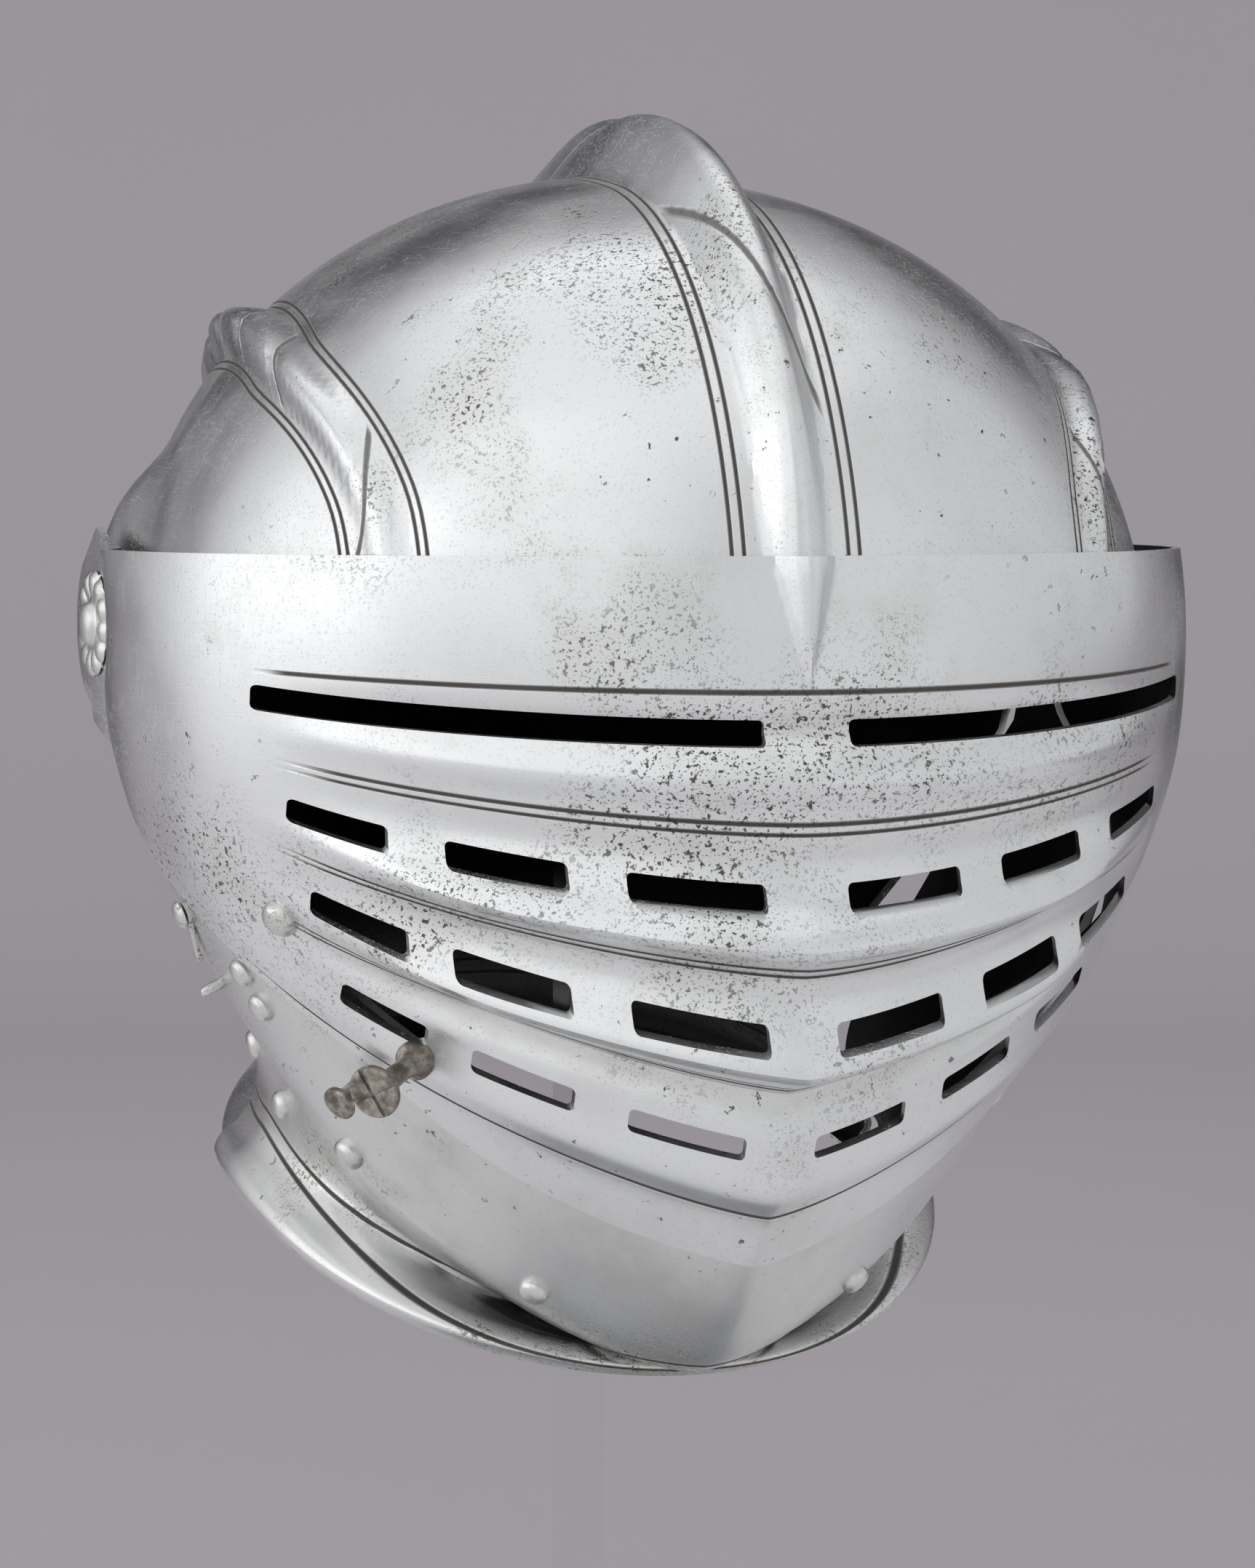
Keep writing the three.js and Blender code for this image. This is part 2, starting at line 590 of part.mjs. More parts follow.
// The catch button: its stem runs through a bore in the bevor
const BUTTON_PLACE = { hand: -1, forward: 90, up: -76 };
const BUTTON_STEM_RADIUS = 1.8;
const BUTTON_TAIL = 3.2;
const BORE_CLEARANCE = 0.3;
const solidBevor = makeBevor();
const buttonSeat = seatOn(geometryOf(solidBevor), BUTTON_PLACE.hand, BUTTON_PLACE.forward, BUTTON_PLACE.up);
function buttonBore() {
  const radius = BUTTON_STEM_RADIUS + BORE_CLEARANCE;
  const geometry = new THREE.CylinderGeometry(radius, radius, 6 * PLATE, 10);
  const turn = new THREE.Quaternion().setFromUnitVectors(UP, buttonSeat.normal);
  geometry.applyQuaternion(turn);
  geometry.translate(buttonSeat.point.x, buttonSeat.point.y, buttonSeat.point.z);
  return solidOf(geometry);
}
const bevor = geometryOf(solidBevor.subtract(buttonBore()));

const helmet = new THREE.Group();
helmet.rotation.x = rad(HELMET_PITCH);
helmet.position.z = PIVOT_HEIGHT;
helmet.add(named('skull', skull, STEEL));
helmet.add(named('visor', visor, STEEL));
helmet.add(named('bevor', bevor, STEEL));

// Pivots: rosette head outside, pin through the three plates, clenched head inside
for (const [name, hand] of [['pivot_right', -1], ['pivot_left', 1]]) {
  const outside = VISOR_AT_HUB + SEAT_GAP;
  const inside = SKULL_AT_HUB - PLATE - SEAT_GAP;
  const profile = [[0, inside - 1.4], [5, inside - 1.4], [5, inside], [PIVOT_PIN_RADIUS, inside],
    [PIVOT_PIN_RADIUS, outside], [ROSETTE_RADIUS, outside], [ROSETTE_RADIUS, outside + 0.7],
    [ROSETTE_RADIUS * 0.7, outside + 0.6 * ROSETTE_THICKNESS], [ROSETTE_RADIUS * 0.42, outside + 0.8],
    [ROSETTE_RADIUS * 0.36, outside + ROSETTE_THICKNESS], [0, outside + ROSETTE_THICKNESS + 1]];
  const pivot = named(name, lathed(profile, 12), RIVET_STEEL);
  pivot.rotation.z = -hand * Math.PI / 2;
  helmet.add(pivot);
}

// Rivets: plate, side (-1 is the wearer's right), and place seen from the side: forward, up
const RIVETS = [
  { name: 'visor_rivet', plate: visor, hand: -1, forward: 94, up: -41.3, size: 1.25 },
  { name: 'bevor_rivet_1', plate: bevor, hand: -1, forward: 69, up: -58, size: 1 },
  { name: 'bevor_rivet_2', plate: bevor, hand: -1, forward: 70, up: -65, size: 1 },
  { name: 'bevor_rivet_3', plate: bevor, hand: -1, forward: 8, up: -88, size: 1 },
  { name: 'bevor_rivet_4', plate: bevor, hand: -1, forward: 24.8, up: -97, size: 1 },
  { name: 'bevor_rivet_5', plate: bevor, hand: -1, forward: 74, up: -94.6, size: 1.1 },
  { name: 'bevor_rivet_6', plate: bevor, hand: -1, forward: 97.7, up: -117.6, size: 1 },
  { name: 'bevor_rivet_7', plate: bevor, hand: 1, forward: 99, up: -79, size: 1 },
  { name: 'bevor_rivet_8', plate: bevor, hand: 1, forward: 24.8, up: -97, size: 1 },
  { name: 'bevor_rivet_9', plate: bevor, hand: 1, forward: 97.7, up: -117.6, size: 1 },
];
const RIVET_LIFT = 0.45;
for (const rivet of RIVETS) {
  const head = lathed(domed(RIVET_RADIUS * rivet.size, RIVET_HEIGHT * rivet.size), 8);
  const seat = seatOn(rivet.plate, rivet.hand, rivet.forward, rivet.up);
  helmet.add(placedOn(named(rivet.name, head, RIVET_STEEL), seat, RIVET_LIFT));
}

// The lifting peg of the visor: collar, trumpet stem and flat head
const PEG_PLACE = { hand: -1, forward: 112, up: -66 };
const PEG_PROFILE = [[0, 0], [0.72, 0], [0.72, 0.07], [0.5, 0.12], [0.4, 0.3], [0.42, 0.55], [0.58, 0.8],
  [1, 0.9], [1, 0.97], [0.9, 1], [0, 1]];
const peg = lathed(PEG_PROFILE.map(([r, y]) => [r * PEG_HEAD_RADIUS, y * PEG_LENGTH]), 12);
helmet.add(placedOn(named('lifting_peg', peg, BROWNED),
  seatOn(uncutVisor, PEG_PLACE.hand, PEG_PLACE.forward, PEG_PLACE.up), RIVET_LIFT));

const button = lathed([[0, -BUTTON_TAIL], [BUTTON_STEM_RADIUS, -BUTTON_TAIL],
  [BUTTON_STEM_RADIUS, BUTTON_LENGTH * 0.62], [BUTTON_RADIUS, BUTTON_LENGTH * 0.8],
  [BUTTON_RADIUS, BUTTON_LENGTH * 0.95], [BUTTON_RADIUS * 0.8, BUTTON_LENGTH], [0, BUTTON_LENGTH]], 12);
helmet.add(placedOn(named('catch_button', button, BROWNED), buttonSeat, 0));

// The swivel hook hangs from its rivet over a small pin
const HOOK_PLACE = { hand: -1, forward: 50, up: -49.5 };
const HOOK_EYE = 1.5;
const HOOK_THICKNESS = 1.2;
const hookSeat = seatOn(bevor, HOOK_PLACE.hand, HOOK_PLACE.forward, HOOK_PLACE.up);
function hookShape() {
  const half = HOOK_WIDTH / 2;
  const shape = new THREE.Shape();
  shape.absarc(0, 0, half + 0.8, rad(-60), rad(240), false);
  shape.lineTo(-half * 0.7, -HOOK_LENGTH * 0.62);
  shape.lineTo(-half * 0.2, -HOOK_LENGTH * 0.75);
  shape.lineTo(half * 1.1, -HOOK_LENGTH * 0.66);
  shape.lineTo(half * 0.5, -HOOK_LENGTH * 0.5);
  const eye = new THREE.Path();
  eye.absarc(0, 0, HOOK_EYE, 0, 2 * Math.PI, true);
  shape.holes.push(eye);
  return shape;
}
const hookFrame = new THREE.Matrix4();
{
  const out = hookSeat.normal;
  const upward = new THREE.Vector3(0, 0, 1).addScaledVector(out, -out.z).normalize();
  const across = upward.clone().cross(out);
  hookFrame.makeBasis(across, upward, out).setPosition(hookSeat.point.clone().addScaledVector(out, RIVET_LIFT));
}
const hookGeometry = new THREE.ExtrudeGeometry(hookShape(),
  { depth: HOOK_THICKNESS, bevelEnabled: false, curveSegments: 6 });
const hook = named('swivel_hook', hookGeometry, RIVET_STEEL);
hook.applyMatrix4(hookFrame);
helmet.add(hook);

const hookRivetProfile = [[0, 0], [HOOK_EYE - 0.3, 0], [HOOK_EYE - 0.3, HOOK_THICKNESS + 0.3],
  ...domed(RIVET_RADIUS * 0.95, RIVET_HEIGHT * 0.8).slice(1).map(([r, y]) => [r, y + HOOK_THICKNESS + 0.3])];
helmet.add(placedOn(named('hook_rivet', lathed(hookRivetProfile, 10), RIVET_STEEL), hookSeat, RIVET_LIFT - 0.1));

const PIN_RADIUS = 1.2;
const PIN_LENGTH = 5;
const pinSeat = seatOn(bevor, HOOK_PLACE.hand, HOOK_PLACE.forward + 4, HOOK_PLACE.up - HOOK_LENGTH);
helmet.add(placedOn(named('hook_pin', lathed(domed(PIN_RADIUS, PIN_LENGTH), 8), RIVET_STEEL), pinSeat, SEAT_GAP));

// The stand: a square clear post on a square plate, under the pivots, square to the viewer
helmet.updateMatrixWorld(true);
function crownAbove(x, y) {
  const inside = new THREE.Mesh(skull);
  inside.applyMatrix4(helmet.matrixWorld);
  inside.updateMatrixWorld(true);
  caster.set(new THREE.Vector3(x, y, PIVOT_HEIGHT), new THREE.Vector3(0, 0, 1));
  return caster.intersectObject(inside)[0].point.z;
}
const turnPost = rad(POST_TURN);
const corners = [[1, 1], [1, -1], [-1, 1], [-1, -1]].map(([a, b]) => [
  POST_WIDTH / 2 * (a * Math.cos(turnPost) - b * Math.sin(turnPost)),
  POST_WIDTH / 2 * (a * Math.sin(turnPost) + b * Math.cos(turnPost)),
]);
const postTop = Math.min(...corners.map(([x, y]) => crownAbove(x, y)), crownAbove(0, 0)) - SEAT_GAP;
const postFoot = BASE_THICKNESS + SEAT_GAP;
const post = named('post', new THREE.BoxGeometry(POST_WIDTH, POST_WIDTH, postTop - postFoot), CLEAR);
post.position.z = (postTop + postFoot) / 2;

function roundedSquare(width, radius) {
  const half = width / 2;
  const shape = new THREE.Shape();
  for (const [sx, sy, start] of [[1, -1, -90], [1, 1, 0], [-1, 1, 90], [-1, -1, 180]]) {
    shape.absarc(sx * (half - radius), sy * (half - radius), radius, rad(start), rad(start + 90), false);
  }
  return shape;
}
const base = named('base_plate', new THREE.ExtrudeGeometry(roundedSquare(BASE_WIDTH, BASE_CORNER),
  { depth: BASE_THICKNESS, bevelEnabled: false, curveSegments: 5 }), CLEAR);

const stand = new THREE.Group();
stand.rotation.z = turnPost;
stand.add(post, base);

const model = new THREE.Group();
model.add(helmet, stand);

export default model;
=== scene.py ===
# %% [markdown]
# # A close helmet on its clear post
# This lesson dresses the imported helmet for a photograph. The plates are thin steel shells, so every
# one of them is drawn here as two skins, an outer and an inner, with the same sizes as the solid
# model, and only much finer. The solid model arrives first, as a fixed frame: it says where the
# pivots are and which body each piece moves with.

# %% Load the frame
import bpy
import bmesh
import json
import math
import numpy as np
from mathutils import Matrix, Vector
from mathutils.bvhtree import BVHTree

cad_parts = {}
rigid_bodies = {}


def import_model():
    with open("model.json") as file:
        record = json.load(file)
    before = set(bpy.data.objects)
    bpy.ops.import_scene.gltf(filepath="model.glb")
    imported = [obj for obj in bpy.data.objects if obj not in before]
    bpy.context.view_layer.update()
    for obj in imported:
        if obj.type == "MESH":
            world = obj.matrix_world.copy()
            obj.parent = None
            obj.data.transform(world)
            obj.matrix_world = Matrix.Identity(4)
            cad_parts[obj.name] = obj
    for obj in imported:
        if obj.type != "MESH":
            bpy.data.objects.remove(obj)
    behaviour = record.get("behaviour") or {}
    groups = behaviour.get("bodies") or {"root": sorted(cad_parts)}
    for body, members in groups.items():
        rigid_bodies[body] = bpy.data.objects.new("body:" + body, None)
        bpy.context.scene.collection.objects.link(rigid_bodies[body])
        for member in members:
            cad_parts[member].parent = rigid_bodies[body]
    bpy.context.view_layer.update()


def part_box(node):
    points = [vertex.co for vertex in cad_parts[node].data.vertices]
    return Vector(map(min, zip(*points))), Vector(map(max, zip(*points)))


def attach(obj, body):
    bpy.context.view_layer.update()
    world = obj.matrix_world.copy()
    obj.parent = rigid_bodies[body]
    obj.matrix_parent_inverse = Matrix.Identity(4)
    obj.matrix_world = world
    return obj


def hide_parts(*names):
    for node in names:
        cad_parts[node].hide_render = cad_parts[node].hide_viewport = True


for left_over in list(bpy.data.objects):
    bpy.data.objects.remove(left_over)
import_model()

# %% [markdown]
# The helmet is drawn level, in millimetres, about the axis of its pivots: forward is -Y, up is +Z.
# When a plate is finished it is nodded by nine degrees, lifted on to the post and turned into metres.
# These sizes are the ones that the solid model is driven by.

# %% Sizes of the plates
PLATE, GAP, VISOR_GAP = 1.6, 0.5, 1.4
HALF_WIDTH, FRONT_REACH, WIDEST_FORWARD = 111.5, 152.0, 48.0
BACK_NARROWING, JAW_NARROWING = 0.55, 0.13
SKULL_TOP, SKULL_BACK = 98.0, 108.0
BROW_ROOM = 3.7
SKULL_INSET = 2 * PLATE + GAP + VISOR_GAP + BROW_ROOM
BELLOWS_DEPTH, KEEL_HEIGHT = 8.0, 5.0
COMB_HEIGHT, COMB_WIDTH, SIDE_COMB_HEIGHT, SIDE_COMB_WIDTH = 14, 20, 7, 14
HUB_RADIUS, HUB_FLAT, HUB_BLEND = 17.0, 20.2, 18.0
SKULL_AT_HUB = 99.0
BEVOR_AT_HUB = SKULL_AT_HUB + GAP + PLATE
VISOR_AT_HUB = BEVOR_AT_HUB + VISOR_GAP + PLATE
PIVOT_HEIGHT, PITCH, AZIMUTH = 0.270, math.radians(9), math.radians(17.5)
TO_ROW = Matrix.Translation((0, 0, PIVOT_HEIGHT)) @ Matrix.Rotation(PITCH, 4, "X") @ Matrix.Scale(0.001, 4)
FROM_ROW = TO_ROW.inverted()
FACING_CAMERA = Matrix.Rotation(-AZIMUTH, 3, "Z")

# %% [markdown]
# A smith shapes a plate by eye from a few templates. Here the templates are short tables, and a
# smooth curve runs through each: how far the middle line stands forward at each angle about the
# pivots, and how pointed the section is there. A power of 2 gives a round section, and 1.3 gives
# the sharp keel of the chin.

# %% Tables of the front plates, and a smooth curve through them
FRONT_PROFILE = [  # angle, reach, point
    (-180, 0.50, 2.0), (-120, 0.80, 1.7), (-90, 0.90, 1.9), (-68, 0.955, 1.85), (-58, 1.06, 1.55),
    (-52, 1.125, 1.42), (-45, 1.125, 1.29), (-38, 1.11, 1.25), (-30, 1.09, 1.27), (-20, 1.075, 1.3),
    (-10, 1.02, 1.55), (0, 0.985, 1.72), (15, 0.955, 1.95), (40, 0.93, 2.0), (90, 0.90, 2.0),
    (180, 0.80, 2.0)]
BELLOWS = [  # angle, rise, spread
    (2.3, -0.30, 1.2), (-1.6, 0.40, 1.7), (-7.2, -0.25, 1.8), (-12.4, 0.85, 1.7), (-16.4, -0.25, 1.5),
    (-20.8, 0.75, 1.6), (-24.6, -0.55, 1.5), (-31.2, 0.35, 2.0)]
SIDE_COMB_PATH = [  # angle, side, rise
    (-10, 30, 0.1), (10, 33, 0.1), (24, 35, 0.5), (53, 46, 0.95), (95, 51, 1), (140, 45, 0.75),
    (195, 33, 0.1)]
COMB_PATH = [  # angle, side, rise
    (3, 0, 0), (18, 0, 0.33), (34, 0, 0.55), (55, 0, 0.90), (75, 0, 1), (92, 0, 0.85), (112, 0, 0.5),
    (150, 0, 0.35), (200, 0, 0.08)]
VISOR_EDGE = [(0, -20), (16, -24), (38, -31), (56, -41), (73, -51), (98, -69), (110, -86), (122, -97),
              (137, -107.5), (230, -176)]  # forward, up

def curve_at(table, column, x):
    """A smooth curve through one column of a table, at every x."""
    t = np.array(table, float)
    keys, vals = t[:, 0], t[:, column]
    i = np.clip(np.searchsorted(keys, x, side="left") - 1, 0, len(keys) - 2)
    before, after = np.maximum(i - 1, 0), np.minimum(i + 2, len(keys) - 1)
    width = keys[i + 1] - keys[i]
    s = np.clip((x - keys[i]) / width, 0, 1)
    slope_a = (vals[i + 1] - vals[before]) / np.maximum(keys[i + 1] - keys[before], 1) * width
    slope_b = (vals[after] - vals[i]) / np.maximum(keys[after] - keys[i], 1) * width
    return ((2 * s**3 - 3 * s**2 + 1) * vals[i] + (s**3 - 2 * s**2 + s) * slope_a
            + (3 * s**2 - 2 * s**3) * vals[i + 1] + (s**3 - s**2) * slope_b)

def smooth(x, low, high):
    """0 below low, 1 above high, and an easy slope between."""
    s = np.clip((x - low) / (high - low), 0, 1)
    return s * s * (3 - 2 * s)

print("the chin's reach (mm):", round(float(FRONT_REACH * curve_at(FRONT_PROFILE, 1, -45.0)), 1))

# %% [markdown]
# A plate has no formula that gives its surface directly, but it is easy to say whether a point is
# inside or outside it. So a ray is sent out from the middle of the pivot axis and halved until it
# stops at the surface, for all the points of a plate at once. Under the visor the bevor is round
# about the pivots, because the visor has to turn over it.

# %% Bodies: negative inside, positive outside
def front_body(x, forward, up):
    turn = np.degrees(np.arctan2(up, forward))
    reach = FRONT_REACH * curve_at(FRONT_PROFILE, 1, turn)
    point = curve_at(FRONT_PROFILE, 2, turn)
    widest = WIDEST_FORWARD * np.cos(np.radians(turn))
    side = np.abs(x) / (HALF_WIDTH * (1 - JAW_NARROWING * smooth(-turn, 5, 85)))
    m = (np.hypot(forward, up) - widest) / (reach - widest)
    return side**point + m * m * np.where(m < 0, BACK_NARROWING, 1) - 1

EDGE_REACH = np.array([math.hypot(f, u) for f, u in VISOR_EDGE])
EDGE_TURN = np.array([math.atan2(u, f) for f, u in VISOR_EDGE])

def bevor_body(x, forward, up):
    reach = np.hypot(forward, up)
    edge = np.interp(reach, EDGE_REACH, EDGE_TURN)
    own = front_body(x, forward, up)
    under = front_body(x, reach * np.cos(edge), reach * np.sin(edge))
    hidden = (np.arctan2(up, forward) > edge) & (forward >= 0)
    return np.where(hidden, np.maximum(own, under), own)

def skull_body(x, forward, up):
    front = FRONT_REACH * 0.955 - PLATE - GAP - WIDEST_FORWARD
    f = (forward - WIDEST_FORWARD) / np.where(forward > WIDEST_FORWARD, front, SKULL_BACK + WIDEST_FORWARD)
    return (np.abs(x) / (HALF_WIDTH - SKULL_INSET))**2 + f * f + (up / SKULL_TOP)**2 - 1

def stretch_to(body, start, way):
    """How far along each way, from each start, the body's surface lies."""
    low, high = np.full(way.shape[0], 5.0), np.full(way.shape[0], 260.0)
    for _ in range(30):
        d = (low + high) / 2
        p = start + way * d[:, None]
        outside = body(p[:, 0], -p[:, 1], p[:, 2]) > 0
        high, low = np.where(outside, d, high), np.where(outside, low, d)
    return (low + high) / 2

def flatten_hub(p, hub_x):
    """Every plate lies flat and square round its pivot pin."""
    away = smooth(np.hypot(p[:, 1], p[:, 2]), HUB_FLAT, HUB_FLAT + HUB_BLEND)
    p[:, 0] = np.sign(p[:, 0]) * hub_x * (1 - away) + p[:, 0] * away
    return p

# %% [markdown]
# Relief is what makes this helmet. The ridges of the visor fade towards the cheeks. The combs are
# raised cords: a rounded ridge whose long strands wind slowly round it, which is why each strand
# is a shallow groove that leans across the ridge as it runs back.

# %% Relief: ridges, keel and twisted combs
def bellows_rise(turn, x):
    fade = 1 - smooth(np.abs(x), 50, 98)
    rises = sum(rise * np.exp(-((turn - at) / spread)**2) for at, rise, spread in BELLOWS)
    return BELLOWS_DEPTH * fade * rises

def keel_rise(turn, x):
    """The short ridge on the brow: a point above the sights that widens towards the edge."""
    grown = (turn - 5) / 9
    half = 5.5 * np.clip(grown, 0.02, 1.2)
    return KEEL_HEIGHT * np.clip(grown, 0, 1) * np.maximum(0, 1 - (x / half)**2)

STRAND, LEAN = 70.0, 0.35
SIDE_PACE = 1.7

def comb_rise(path, height, width, turn, across, along, depth=0.20):
    size = np.clip(curve_at(path, 2, turn), 0, 1)
    size = size * (turn >= path[0][0]) * (1 - smooth(turn, 176, 190))
    half = width / 2 * (0.55 + 0.45 * size)
    t = across / half
    turned = along / STRAND + LEAN * t
    groove = depth * (1 - np.abs(np.sin(np.pi * turned)))**3
    lump = height * size * (1 - groove) * np.cos(np.pi / 2 * np.clip(t, -1, 1))**1.2
    return np.where(np.abs(t) < 1, lump, 0)

def rays(turn, side):
    a, b = np.radians(turn), np.radians(side)
    return np.stack([np.sin(b), -np.cos(b) * np.cos(a), np.cos(b) * np.sin(a)], axis=1)

CENTRE = np.zeros(3)

def visor_surface(turn, side):
    way = rays(turn, side)
    d = stretch_to(front_body, CENTRE, way)
    x = d * way[:, 0]
    return flatten_hub(way * (d + bellows_rise(turn, x) + keel_rise(turn, x))[:, None], VISOR_AT_HUB)

def comb_places(turn, side, d):
    """Distance from the middle comb and from the nearer side comb, and the way along them, in mm."""
    path = curve_at(SIDE_COMB_PATH, 1, np.clip(turn, -10, 195))
    middle, beside = d * np.sin(np.radians(side)), d * np.radians(np.abs(side) - path)
    return middle, beside, np.radians(turn) * SKULL_TOP

def skull_surface(turn, side, share=1.0):
    turn = np.where(turn < -60, turn + 360, turn)
    way = rays(turn, side)
    d = stretch_to(skull_body, CENTRE, way)
    middle, beside, along = comb_places(turn, side, d)
    rise = comb_rise(COMB_PATH, COMB_HEIGHT, COMB_WIDTH, turn, middle, along)
    rise = rise + comb_rise(SIDE_COMB_PATH, SIDE_COMB_HEIGHT, SIDE_COMB_WIDTH, turn, beside,
                            along * SIDE_PACE, 0.26)
    return flatten_hub(way * (d + share * rise)[:, None], SKULL_AT_HUB)

def skull_inner_surface(turn, side):
    """Behind a comb the plate is hollow, but not as deep as the comb is high."""
    return skull_surface(turn, side, 0.62)

# %% [markdown]
# Both skins of a plate start as a flat bmesh grid. One way across it counts the angle about the
# pivots and the other the angle out to the side, and then each vertex is laid on the surface.
# Where the ends of the grid meet, remove_doubles sews them, so a skin is one closed bag. The inner
# bag is drawn in along the surface's own direction by the thickness of the plate.

# %% From a flat grid to a closed skin
def grid_numbers(bm, columns, rows):
    """A flat grid, with the column and row number of each vertex."""
    bmesh.ops.create_grid(bm, x_segments=columns, y_segments=rows, size=1)
    flat = np.array([v.co for v in bm.verts])
    return (np.rint((flat[:, 0] + 1) / 2 * columns).astype(int),
            np.rint((flat[:, 1] + 1) / 2 * rows).astype(int))

def lay(bm, places):
    for v, p in zip(bm.verts, places):
        v.co = p

def outward(bm):
    """Sews the seams and turns every face outwards."""
    bmesh.ops.remove_doubles(bm, verts=bm.verts, dist=1e-4)
    bmesh.ops.recalc_face_normals(bm, faces=bm.faces)
    if bm.calc_volume(signed=True) < 0:
        bmesh.ops.reverse_faces(bm, faces=bm.faces)

def as_object(bm, name):
    mesh = bpy.data.meshes.new(name)
    bm.to_mesh(mesh)
    bm.free()
    obj = bpy.data.objects.new(name, mesh)
    bpy.context.scene.collection.objects.link(obj)
    return obj

def mark_inside(bm, is_inside):
    """Keeps on each face whether it is on the inside of a plate. A cut carries this along."""
    layer = bm.faces.layers.float.new("inside")
    for face in bm.faces:
        face[layer] = 1.0 if is_inside(face) else 0.0

def drawn_in(surface, a, b, depth, step=0.4):
    """Points of a surface, moved inwards along its normal."""
    p = surface(a, b)
    if depth == 0:
        return p
    along = surface(a + step, b) - surface(a - step, b)
    across = surface(a, b + step) - surface(a, b - step)
    normal = np.cross(across, along)
    length = np.linalg.norm(normal, axis=1)
    pole = length < 1e-6
    normal[pole] = np.stack([np.sign(p[pole, 0]), 0 * p[pole, 0], 0 * p[pole, 0]], axis=1)
    normal /= np.where(pole, 1, length)[:, None]
    normal *= np.where((normal * p).sum(axis=1) < 0, -1, 1)[:, None]
    return p - depth * normal

def closed_skin(name, surface, turns, sides, depth):
    bm = bmesh.new()
    column, row = grid_numbers(bm, len(turns) - 1, len(sides) - 1)
    side = sides[row]
    places = drawn_in(surface, turns[column], np.clip(side, -89.99, 89.99), depth)
    last = column == len(turns) - 1
    places[last] = places[column == 0][np.argsort(row[column == 0])][row[last]]
    places[np.abs(side) > 89.9] = [0, 0, 0]
    for end in (-1, 1):
        here = side * end > 89.9
        places[here] = drawn_in(surface, np.zeros(1), np.array([89.99 * end]), depth)[0] * [1, 0, 0]
    lay(bm, places)
    mark_inside(bm, lambda face: depth > 0)
    outward(bm)
    return as_object(bm, name)

# %% [markdown]
# The plates end along lines that are simple only from the side. So each is cut with a block: the
# line, drawn as one face and pushed right through the helmet. The slots are cut with thin bars
# whose four long edges are rounded first, as the file that cleared a real slot left them.

# %% Cutting blocks and the cut itself
def side_block(line, half=240.0):
    """A block across the helmet over a closed line of (forward, up)."""
    bm = bmesh.new()
    face = bm.faces.new([bm.verts.new((-half, -f, u)) for f, u in line])
    pushed = bmesh.ops.extrude_face_region(bm, geom=[face])
    moved = [e for e in pushed["geom"] if isinstance(e, bmesh.types.BMVert)]
    bmesh.ops.translate(bm, verts=moved, vec=(2 * half, 0, 0))
    outward(bm)
    return as_object(bm, "side_block")

def block(size, at=(0, 0, 0)):
    bm = bmesh.new()
    bmesh.ops.create_cube(bm, size=1)
    bmesh.ops.scale(bm, verts=bm.verts, vec=size)
    bmesh.ops.translate(bm, verts=bm.verts, vec=at)
    return bm

def round_edges(bm, edges, offset, segments):
    bmesh.ops.bevel(bm, geom=edges, offset=offset, segments=segments, profile=0.5, affect="EDGES",
                    material=-1)

def rotate_all(bm, matrix):
    bmesh.ops.rotate(bm, verts=bm.verts, cent=(0, 0, 0), matrix=matrix)

def slot_bar(angle, inner, outer, height, corner=1.1):
    bm = block((abs(outer - inner), 130, height))
    long_edges = [e for e in bm.edges if abs(e.verts[0].co.y - e.verts[1].co.y) > 100]
    round_edges(bm, long_edges, corner, 4)
    bmesh.ops.translate(bm, verts=bm.verts, vec=((inner + outer) / 2, -125, 0))
    rotate_all(bm, Matrix.Rotation(math.radians(-angle), 3, "X"))
    return as_object(bm, "slot_bar")

def pin_bore(radius=3.3):
    bm = bmesh.new()
    bmesh.ops.create_cone(bm, cap_ends=True, segments=32, radius1=radius, radius2=radius, depth=480)
    rotate_all(bm, Matrix.Rotation(math.pi / 2, 3, "Y"))
    return as_object(bm, "pin_bore")

def cut(obj, steps):
    """Runs a list of (operation, cutter) on a closed mesh, and keeps only the result."""
    for operation, tool in steps:
        way = obj.modifiers.new(tool.name, "BOOLEAN")
        way.operation, way.object, way.solver = operation, tool, "MANIFOLD"
    now = obj.evaluated_get(bpy.context.evaluated_depsgraph_get())
    mesh = bpy.data.meshes.new_from_object(now)
    obj.modifiers.clear()
    old, obj.data = obj.data, mesh
    bpy.data.meshes.remove(old)
    for _, tool in steps:
        bpy.data.objects.remove(tool)
    return obj

def hub_arc(radius, start, end, count):
    angles = np.radians(np.linspace(start, end, count + 1))
    return [(radius * math.cos(a), radius * math.sin(a)) for a in angles]

FAR = 230.0
edge_forward = np.linspace(137, 1, 46)
edge_up = curve_at(VISOR_EDGE, 1, edge_forward)
VISOR_TOP, VISOR_RISE = 16.0, 0.158
VISOR_LINE = ([(-3, VISOR_TOP + 3.6), (3, VISOR_TOP + 2.2), (9, VISOR_TOP + 1.9),
               (20, VISOR_TOP + 20 * VISOR_RISE), (FAR, VISOR_TOP + FAR * VISOR_RISE), (FAR, -176)]
              + list(zip(edge_forward.tolist(), edge_up.tolist())) + hub_arc(HUB_RADIUS, 262, 145, 20))
BEVOR_LINE = (hub_arc(HUB_RADIUS - 1, 265, 200, 12) + hub_arc(HUB_RADIUS - 2, 180, 20, 24)
              + [(20, -10), (38, -22), (56, -31), (75, -41), (98, -56), (118, -76), (137, -92),
                 (FAR, -150), (FAR, -FAR), (1, -FAR), (1, -18)])
